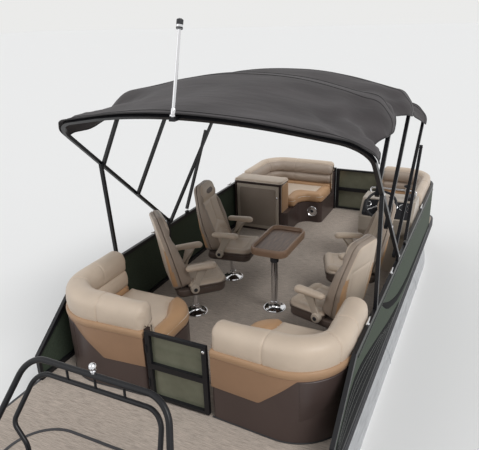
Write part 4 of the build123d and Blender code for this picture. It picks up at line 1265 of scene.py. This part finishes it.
rail_line = [(0.700, 1.575, 1.338), (0.700, 1.585, 1.372), (0.740, 1.590, 1.386), (0.958, 1.592, 1.388),
             (1.176, 1.590, 1.386), (1.216, 1.585, 1.372), (1.216, 1.575, 1.338)]
tube("console_grab_rail", curved(rail_line, 6, False), 0.010, mat_chrome, "hull", 10)
# columns: along the boat, up, out to port
port_face = Matrix(((0, 0, -1, 0), (1, 0, 0, 0), (0, 1, 0, 0), (0, 0, 0, 1)))
for number in (1, 2):
    low = 0.60 + 0.20 * (number - 1)
    pad(f"console_locker_{number}", rectangle((1.245, low), (1.620, low + 0.17), 0.03, 0.03), -0.664, -0.657,
        mat_pan, "hull", 0.004, 0.0, 0.0, step=0.05, place=port_face)

wheel_radius = 0.165
wheel_middle = Vector((0.903, 1.16791, 1.33134))
wheel_axis = Vector((0, -0.68692, 0.72674))
wheel_side = Vector((1, 0, 0))
wheel_up = wheel_axis.cross(wheel_side)


def wheel_spot(radius, angle, off=0.0):
    """A point of the wheel, by distance from its centre, angle and height off its plane."""
    way = wheel_side * math.cos(angle) + wheel_up * math.sin(angle)
    return wheel_middle + way * radius + wheel_axis * off


rim_line = [wheel_spot(wheel_radius, math.tau * step / 60) for step in range(60)]
wheel_rim = tube("wheel_rim", rim_line, 0.0148, mat_grip, "steering_wheel", 14, True)
# columns: distance from the wheel's centre, height off its plane
spoke_line = ((0.030, -0.004), (0.080, -0.006), (0.125, -0.004), (0.162, 0))
for index in range(3):
    angle = math.pi / 2 + math.tau * index / 3
    line = [wheel_spot(radius, angle, off) for radius, off in spoke_line]
    tube(f"wheel_spoke_{index + 1}", curved(line, 4, False), lambda t: 0.011 - 0.004 * math.sin(math.pi * t),
         mat_chrome, "steering_wheel", 10)
hub_spots = [wheel_middle + wheel_axis * off for off in (-0.022, -0.008, 0.006, 0.014, 0.018)]
tube("wheel_hub", hub_spots, stepped(0.030, 0.040, 0.040, 0.030, 0.012), mat_dash, "steering_wheel", 28)
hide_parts("steering_wheel")


# Table tray, and skirts round the posts

table_low, table_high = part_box("table_top")
tray_inset = 0.002
table_outline = rectangle(
    (table_low.x + tray_inset, table_low.y + tray_inset),
    (table_high.x - tray_inset, table_high.y - tray_inset),
    0.092,
    0.012,
)
tray_section = [(0.004, -0.048), (-0.003, -0.044), (-0.006, -0.010), (-0.004, 0.026), (0.002, 0.033),
                (0.012, 0.034), (0.019, 0.028), (0.022, 0.006), (0.026, -0.002), (0.006, -0.006)]
rings = []
for distance, height in tray_section:
    rings.append([Vector((*spot, table_high.z + height)) for spot in offset_outline(table_outline, distance)])
add_piece("table_rim", *bridged(rings, wrap=True), mat_wood_edge, "hull")
skirt_radius = 0.115
# columns: x, y, the post's radius, its top
posts = [(0.120, -0.070, 0.035, 1.096)] + [(x, y, 0.028, 0.816) for x, y, heading in chair_places]
for index, (x, y, post, top) in enumerate(posts):
    # radius, height
    skirt_profile = [(skirt_radius - 0.004, 0.510), (skirt_radius - 0.010, 0.520),
                     (skirt_radius * 0.62, 0.530), (post + 0.020, 0.542), (post + 0.008, 0.560),
                     (post + 0.006, 0.590), (post + 0.0015, 0.594)]
    spots = [(x, y, height) for radius, height in skirt_profile]
    radii = [radius for radius, height in skirt_profile]
    tube(f"post_skirt_{index + 1}", spots, stepped(*radii), mat_chrome, "hull", 40)
    collar = [(x, y, top - under) for under in (0.060, 0.056, 0.010, 0.002)]
    collar_radii = [post + more for more in (0.002, 0.007, 0.007, 0.004)]
    tube(f"post_collar_{index + 1}", collar, stepped(*collar_radii), mat_grip, "hull", 24)


# Fence sides: dark accents that taper along the boat, pin stripes, a second rail and a ribbed rub rail

fence_x, fence_stern, fence_bow = 1.290, -1.95, 2.69
fence_line = [Vector((fence_x, fence_stern)), Vector((fence_x, fence_bow))]
# The fence's length as its raised panels have it, counted from its stern end
fence_run = 4.64
rub_x, rub_end = 1.295, 3.13
rub_line = [Vector((rub_x, -rub_end)), Vector((rub_x, rub_end))]
accent_foot, stripe_foot = 0.550, 0.556
cleat_x, cleat_foot = 1.274, 1.150
bolt_x = 1.289
float_x, weld_radius = 0.98, 0.3185


def side_heights(*knots):
    """A height that changes along the fence, from (y, z) points."""
    return through([(y - fence_stern, z) for y, z in knots])


def stripe_height(share, start):
    """A stripe's height: a share of the aft accent's, from a start."""
    return lambda distance: start + (aft_top(distance) - accent_foot) * share


aft_top = side_heights((-1.90, 0.715), (-1.60, 0.925), (-1.46, 0.965), (-1.28, 0.958), (-1.11, 0.925),
                       (-0.80, 0.850), (-0.55, 0.785), (-0.20, 0.695), (0.10, 0.635), (0.40, 0.590))
fore_low = side_heights((-0.60, 1.086), (-0.50, 1.010), (-0.36, 0.915), (-0.20, 0.830), (0.05, 0.735),
                        (0.28, 0.665), (0.60, 0.605), (0.90, 0.575), (1.60, 0.550), (2.69, 0.546))
fore_top = side_heights((-0.60, 1.100), (-0.50, 1.055), (-0.36, 0.985), (-0.20, 0.910), (0.05, 0.815),
                        (0.28, 0.745), (0.60, 0.685), (0.90, 0.650), (1.60, 0.620), (2.69, 0.610))
side_panels = [
    # name, span along the fence, lower edge, upper edge, how far proud, material
    ("fence_accent_aft", (0.05, 2.35), level(0.544), aft_top, 0.0022, mat_accent),
    ("fence_accent_fore", (1.35, fence_run), fore_low, fore_top, 0.0030, mat_accent),
    ("fence_second_rail", (0.56, fence_run), level(1.082), level(1.096), 0.0060, mat_black),
    ("fence_rail_line", (0.56, fence_run), level(1.112), level(1.118), 0.0016, mat_stripe),
]
for index, share in enumerate((0.30, 0.52, 0.70, 0.84)):
    stripe_low, stripe_top = stripe_height(share, accent_foot), stripe_height(share, stripe_foot)
    side_panels.append((f"fence_stripe_{index + 1}", (0.10, 2.05 - 0.2 * index), stripe_low, stripe_top,
                        0.0032, mat_stripe))
side_pieces = []
for name, span, low, high, proud, material in side_panels:
    side_pieces.append(shell_panel(f"{name}_starboard", fence_line, span, low, high, proud, material, "hull"))
for index, height in enumerate((0.416, 0.436, 0.456, 0.476)):
    side_pieces.append(shell_panel(f"rub_rail_rib_{index + 1}_starboard", rub_line, (0.0, 2 * rub_end),
                                   level(height), level(height + 0.009), 0.0038, mat_rail, "hull", 0.2))
horn_line = [(-0.062, 1.180), (-0.030, 1.174), (0, 1.172), (0.030, 1.174), (0.062, 1.180)]
horn_foot = [(-0.002, 0.015), (0.003, 0.015), (0.006, 0.010), (0.014, 0.008), (0.022, 0.009)]
for index, y in enumerate((-1.04, -0.12, 1.72)):
    horn = curved([(cleat_x, y + shift, z) for shift, z in horn_line], 4, False)
    side_pieces.append(tube(f"cleat_{index + 1}_horn_starboard", horn,
                            lambda t: 0.0075 - 0.0035 * abs(2 * t - 1) ** 3, mat_chrome, "hull", 12))
    side_pieces.append(spun(f"cleat_{index + 1}_foot_starboard", (cleat_x, y, cleat_foot), (0, 0, 1),
                            horn_foot, mat_chrome, "hull", 20))
bolt_head = [(-0.002, 0.013), (0.003, 0.013), (0.006, 0.010), (0.0075, 0.004)]
for y, z in ((0.171, 1.200), (-0.843, 2.126), (-0.375, 1.699)):
    side_pieces.append(spun(f"bimini_bolt_{round(z * 100)}_starboard", (bolt_x, y, z), (1, 0, 0), bolt_head,
                            mat_chrome, "hull", 18))
for index, y in enumerate((-1.55, 0.15, 1.85)):
    turns = [math.tau * step / 60 for step in range(60)]
    weld = [(float_x + weld_radius * math.cos(turn), y, weld_radius * math.sin(turn)) for turn in turns]
    side_pieces.append(tube(f"pontoon_weld_{index + 1}_starboard", weld, 0.0045, mat_aluminium, "hull",
                            6, True))
mirror_pieces(side_pieces)


# Small fittings: tow ball, light pole's foot, cap and collar, gate hinges and latches

# columns of each profile: distance along the axis, radius
tow_ball = [(-0.012, 0.0135), (-0.004, 0.0135), (0.000, 0.019), (0.004, 0.019), (0.007, 0.014),
            (0.012, 0.0165), (0.018, 0.0215), (0.026, 0.0245), (0.034, 0.0250), (0.042, 0.0235),
            (0.050, 0.0185), (0.055, 0.011), (0.057, 0.003)]
spun("tow_ball", (0, -2.618, 1.430), (0, 0, 1), tow_ball, mat_chrome, "hull", 32)
pole_lean = math.radians(16)
pole_low, pole_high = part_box("light_pole")
pole_way = Vector((0, math.sin(pole_lean), math.cos(pole_lean)))
pole_foot = Vector((0, pole_low.y + 0.012, pole_low.z))
pole_length = (pole_high.z - pole_low.z) / math.cos(pole_lean)
foot_profile = [(0.000, 0.024), (0.010, 0.024), (0.014, 0.017), (0.050, 0.0155), (0.056, 0.0125)]
cap_profile = [(pole_length - 0.040, 0.0225), (pole_length - 0.012, 0.0232), (pole_length - 0.006, 0.021),
               (pole_length - 0.001, 0.012)]
collar_profile = [(pole_length - 0.070, 0.0135), (pole_length - 0.066, 0.0228), (pole_length - 0.058, 0.0228),
                  (pole_length - 0.055, 0.0222)]
spun("light_pole_foot", pole_foot, pole_way, foot_profile, mat_chrome, "hull", 28)
spun("light_pole_cap", pole_foot, pole_way, cap_profile, mat_grip, "hull", 28)
spun("light_pole_collar", pole_foot, pole_way, collar_profile, mat_grip, "hull", 28)
hinge_profile = [(0.0, 0.004), (0.001, 0.008), (0.034, 0.008), (0.035, 0.0068), (0.037, 0.0068),
                 (0.038, 0.008), (0.069, 0.008), (0.070, 0.004)]
hinge_heights, latch_height = (0.66, 0.98), 1.085
latch_profile = [(-0.004, 0.013), (0.003, 0.013), (0.006, 0.009), (0.008, 0.003)]
for gate_name, x_low, x_high, y, way in (("rear_gate", -0.268, 0.268, -1.772, -1),
                                         ("bow_gate", -0.140, 0.555, 3.112, 1)):
    for index, z in enumerate(hinge_heights):
        spun(f"{gate_name}_hinge_{index + 1}", (x_low + 0.006, y, z - 0.035), (0, 0, 1), hinge_profile,
             mat_black, gate_name, 16)
    spun(f"{gate_name}_latch", (x_high - 0.020, y + 0.002 * way, latch_height), (0, way, 0), latch_profile,
         mat_chrome, gate_name, 20)


# Canopy: one sheet over four bows, drawn in between them

mount = Vector((0, 0.171, 1.2))
cloth_clear, cloth_skirt, cloth_draw = 0.0315, 0.195, 0.095
cloth_corner, cloth_crown, bow_corner = 0.168, 2.9, 0.28
main_angle, main_arm = 137.6, 1.956
rows_between = 14
columns = 96


def up_leg(start, angle, distance):
    """The point so far up a bow's leg."""
    angle = math.radians(angle)
    return start + Vector((0, math.cos(angle), math.sin(angle))) * distance


second_pivot = up_leg(mount, main_angle, main_arm * 0.702)
third_pivot = up_leg(mount, main_angle, main_arm * 0.378)
bow_list = [
    # pivot, angle, half width, shoulder, rise
    (mount, main_angle, 1.275, 2.040, 0.340),
    (second_pivot, 54.0, 1.240, 0.680, 0.340),
    (third_pivot, 48.0, 1.240, 1.250, 0.370),
    (mount, 40.5, 1.240, 1.760, 0.360),
]
stations = []
for pivot, angle, half, shoulder, rise in bow_list:
    place = up_leg(pivot, angle, shoulder)
    stations.append((place.y, place.z, angle, half, rise, 0.0))
cuts = [stations[0]]
for first, second in zip(stations, stations[1:]):
    middle = [(one + other) / 2 for one, other in zip(first, second)]
    cuts += [(*middle[:5], cloth_draw), second]


def cloth_ring(y, z, angle, half, rise, draw):
    """The sheet's line over one station, from hem to hem, evenly divided."""
    out = cloth_clear
    slope = math.atan2(rise, half + out)
    bend = math.pi / 2 - slope
    back = (bow_corner + out) * (math.tan(bend / 2) - math.tan(bend / 4))
    sideways = [
        (half + out - 0.3 * draw, -cloth_skirt),
        (half + out - 0.8 * draw, out - back - 0.2 * draw),
        (half + out - back * math.cos(slope) - 0.45 * draw, out + back * math.sin(slope) - 0.9 * draw),
    ]
    edge = sideways + [(0, rise + out)] + [(-x, up) for x, up in sideways[::-1]]
    radii = [0, cloth_corner, cloth_corner, cloth_crown, cloth_corner, cloth_corner, 0]
    line = rounded([(x, up, 0) for x, up in edge], radii, 0.02)
    total = lengths(line)
    tilt = math.radians(angle)
    hollow = 0.85 * draw
    ring = []
    for column in range(columns + 1):
        spot = along(line, total, hollow + (total[-1] - 2 * hollow) * column / columns)
        ring.append(Vector((spot[0], y + spot[1] * math.cos(tilt), z + spot[1] * math.sin(tilt))))
    return ring


main_rings = [cloth_ring(*cut) for cut in cuts]
cloth_rows = []
for index in range(len(main_rings) - 1):
    group = [main_rings[min(max(index + shift, 0), len(main_rings) - 1)] for shift in (-1, 0, 1, 2)]
    for row in range(rows_between):
        cloth_rows.append([spline(*spots, row / rows_between) for spots in zip(*group)])
cloth_rows.append(main_rings[-1])
last_row = len(cloth_rows) - 1
bow_rows = [2 * rows_between * index for index in range(len(bow_list))]


def cloth_fold(u, v):
    """Height of the folds in the sheet; u runs across from -1 to 1, v from the stern bow to the front."""
    total = 0.0
    side = abs(u)
    slack = 1.0
    for bow_row in bow_rows:
        slack *= 1 - math.exp(-(((v * last_row - bow_row) / 3.0) ** 2))
    corner = smooth_step(side, 0.52, 0.80) * (1 - 0.4 * smooth_step(side, 0.9, 1.0))
    total += 0.020 * corner * slack * math.sin(34 * v + 9 * side + 3 * math.sin(5 * u))
    total += 0.007 * slack * math.sin(46 * v - 14 * side + 2 * math.sin(7 * u)) * smooth_step(side, 0.25, 0.6)
    total += 0.005 * slack * math.sin(11 * u + 17 * v) * (1 - corner)
    for way in (0.0, 1.0):
        reach_x, reach_y = 1.6 * (1 - side), 3.0 * abs(v - way)
        fan = math.atan2(reach_y, reach_x + 0.001)
        near = math.hypot(reach_x, reach_y)
        strength = smooth_step(near, 0.05, 0.30) * math.exp(-((near / 0.95) ** 2))
        total += 0.013 * slack * strength * (1 - abs(math.sin(7 * fan + 0.8 * u))) ** 1.5
    wave = noise.noise(Vector((3.1 * u, 11 * v, 0.7)))
    total += 0.010 * slack * wave * (0.35 + corner)
    total += 0.004 * noise.noise(Vector((15 * u, 40 * v, 3.0))) * (0.3 + corner) * slack
    return total


# A point below the sheet, whose outer face looks away from it
cloth_inside = Vector((0, 0.1, 1.4))
cloth_points = []
for row, ring in enumerate(cloth_rows):
    for column, spot in enumerate(ring):
        here_u = 2 * column / columns - 1
        here_v = row / last_row
        sideways = ring[min(column + 1, columns)] - ring[max(column - 1, 0)]
        lengthways = cloth_rows[min(row + 1, last_row)][column] - cloth_rows[max(row - 1, 0)][column]
        out = lengthways.cross(sideways).normalized()
        if out.dot(spot - cloth_inside) < 0:
            out = -out
        cloth_points.append(spot + out * cloth_fold(here_u, here_v))
width_count = columns + 1
cloth_faces = [
    (row * width_count + column, row * width_count + column + 1, (row + 1) * width_count + column + 1,
     (row + 1) * width_count + column)
    for row in range(last_row)
    for column in range(columns)
]
canopy = add_piece("canopy_sheet", cloth_points, cloth_faces, mat_canvas, "hull", sharp=80)
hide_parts("canopy")


def cloth_line(row, lift=0.002):
    """A line of points across the sheet at one row, just proud of it."""
    return [cloth_points[row * width_count + column] + Vector((0, 0, lift)) for column in range(width_count)]


def cloth_side(column):
    """A line of points along one edge of the sheet."""
    return [cloth_points[row * width_count + column] for row in range(len(cloth_rows))]


hem_loop = cloth_line(0, 0) + cloth_side(columns)[1:]
hem_loop += cloth_line(last_row, 0)[::-1][1:] + cloth_side(0)[::-1][1:-1]
hem_pieces = [tube("canopy_hem", hem_loop, 0.0055, mat_canvas_edge, "hull", 6, True)]
for bow_row in bow_rows:
    for offset in (-2, 2):
        if 0 <= bow_row + offset <= last_row:
            seam_name = f"canopy_seam_{bow_row}_{offset + 2}"
            seam_line = cloth_line(bow_row + offset)
            hem_pieces.append(tube(seam_name, seam_line, 0.0022, mat_canvas_edge, "hull", 4))
for piece in [canopy, *hem_pieces]:
    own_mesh(piece)


# Floor at the waterline, backdrop and lights

floor_reach = 120
backdrop_colour = (0.86, 0.86, 0.85)
floor_mesh = bpy.data.meshes.new("floor")
floor_mesh.from_pydata(
    [(-floor_reach, -floor_reach, 0), (floor_reach, -floor_reach, 0), (floor_reach, floor_reach, 0),
     (-floor_reach, floor_reach, 0)],
    [],
    [(0, 1, 2, 3)],
)
floor = bpy.data.objects.new("floor", floor_mesh)
floor_mesh.materials.append(new_material("floor", backdrop_colour, 0.9, Specular_IOR_Level=0.1))
scene.collection.objects.link(floor)

world = bpy.data.worlds.new("studio")
scene.world = world
world.use_nodes = True
world_nodes = world.node_tree.nodes
world_links = world.node_tree.links
glow = world_nodes["Background"]
glow.inputs["Color"].default_value = (0.97, 0.98, 1.0, 1)
glow.inputs["Strength"].default_value = 0.62
shown = world_nodes.new("ShaderNodeBackground")
shown.inputs["Color"].default_value = (*backdrop_colour, 1)
shown.inputs["Strength"].default_value = 0.965
rays = world_nodes.new("ShaderNodeLightPath")
either = world_nodes.new("ShaderNodeMath")
either.operation = "MAXIMUM"
seen = world_nodes.new("ShaderNodeMath")
seen.operation = "MAXIMUM"
choose = world_nodes.new("ShaderNodeMixShader")
world_links.new(rays.outputs["Is Glossy Ray"], either.inputs[0])
world_links.new(rays.outputs["Is Transmission Ray"], either.inputs[1])
world_links.new(rays.outputs["Is Camera Ray"], seen.inputs[0])
world_links.new(either.outputs[0], seen.inputs[1])
world_links.new(seen.outputs[0], choose.inputs["Fac"])
world_links.new(glow.outputs[0], choose.inputs[1])
world_links.new(shown.outputs[0], choose.inputs[2])
world_links.new(choose.outputs[0], world_nodes["World Output"].inputs["Surface"])

lights = [
    # name, place that it shines from, strength, softness in degrees
    ("key", (7.0, -3.0, 9.0), 1.25, 24),
    ("fill", (-8.0, -7.0, 6.0), 0.35, 50),
]
for light_name, place, strength, softness in lights:
    data = bpy.data.lights.new(light_name, "SUN")
    data.energy = strength
    data.angle = math.radians(softness)
    lamp = bpy.data.objects.new(light_name, data)
    lamp.rotation_euler = (-Vector(place)).to_track_quat("-Z", "Y").to_euler()
    scene.collection.objects.link(lamp)
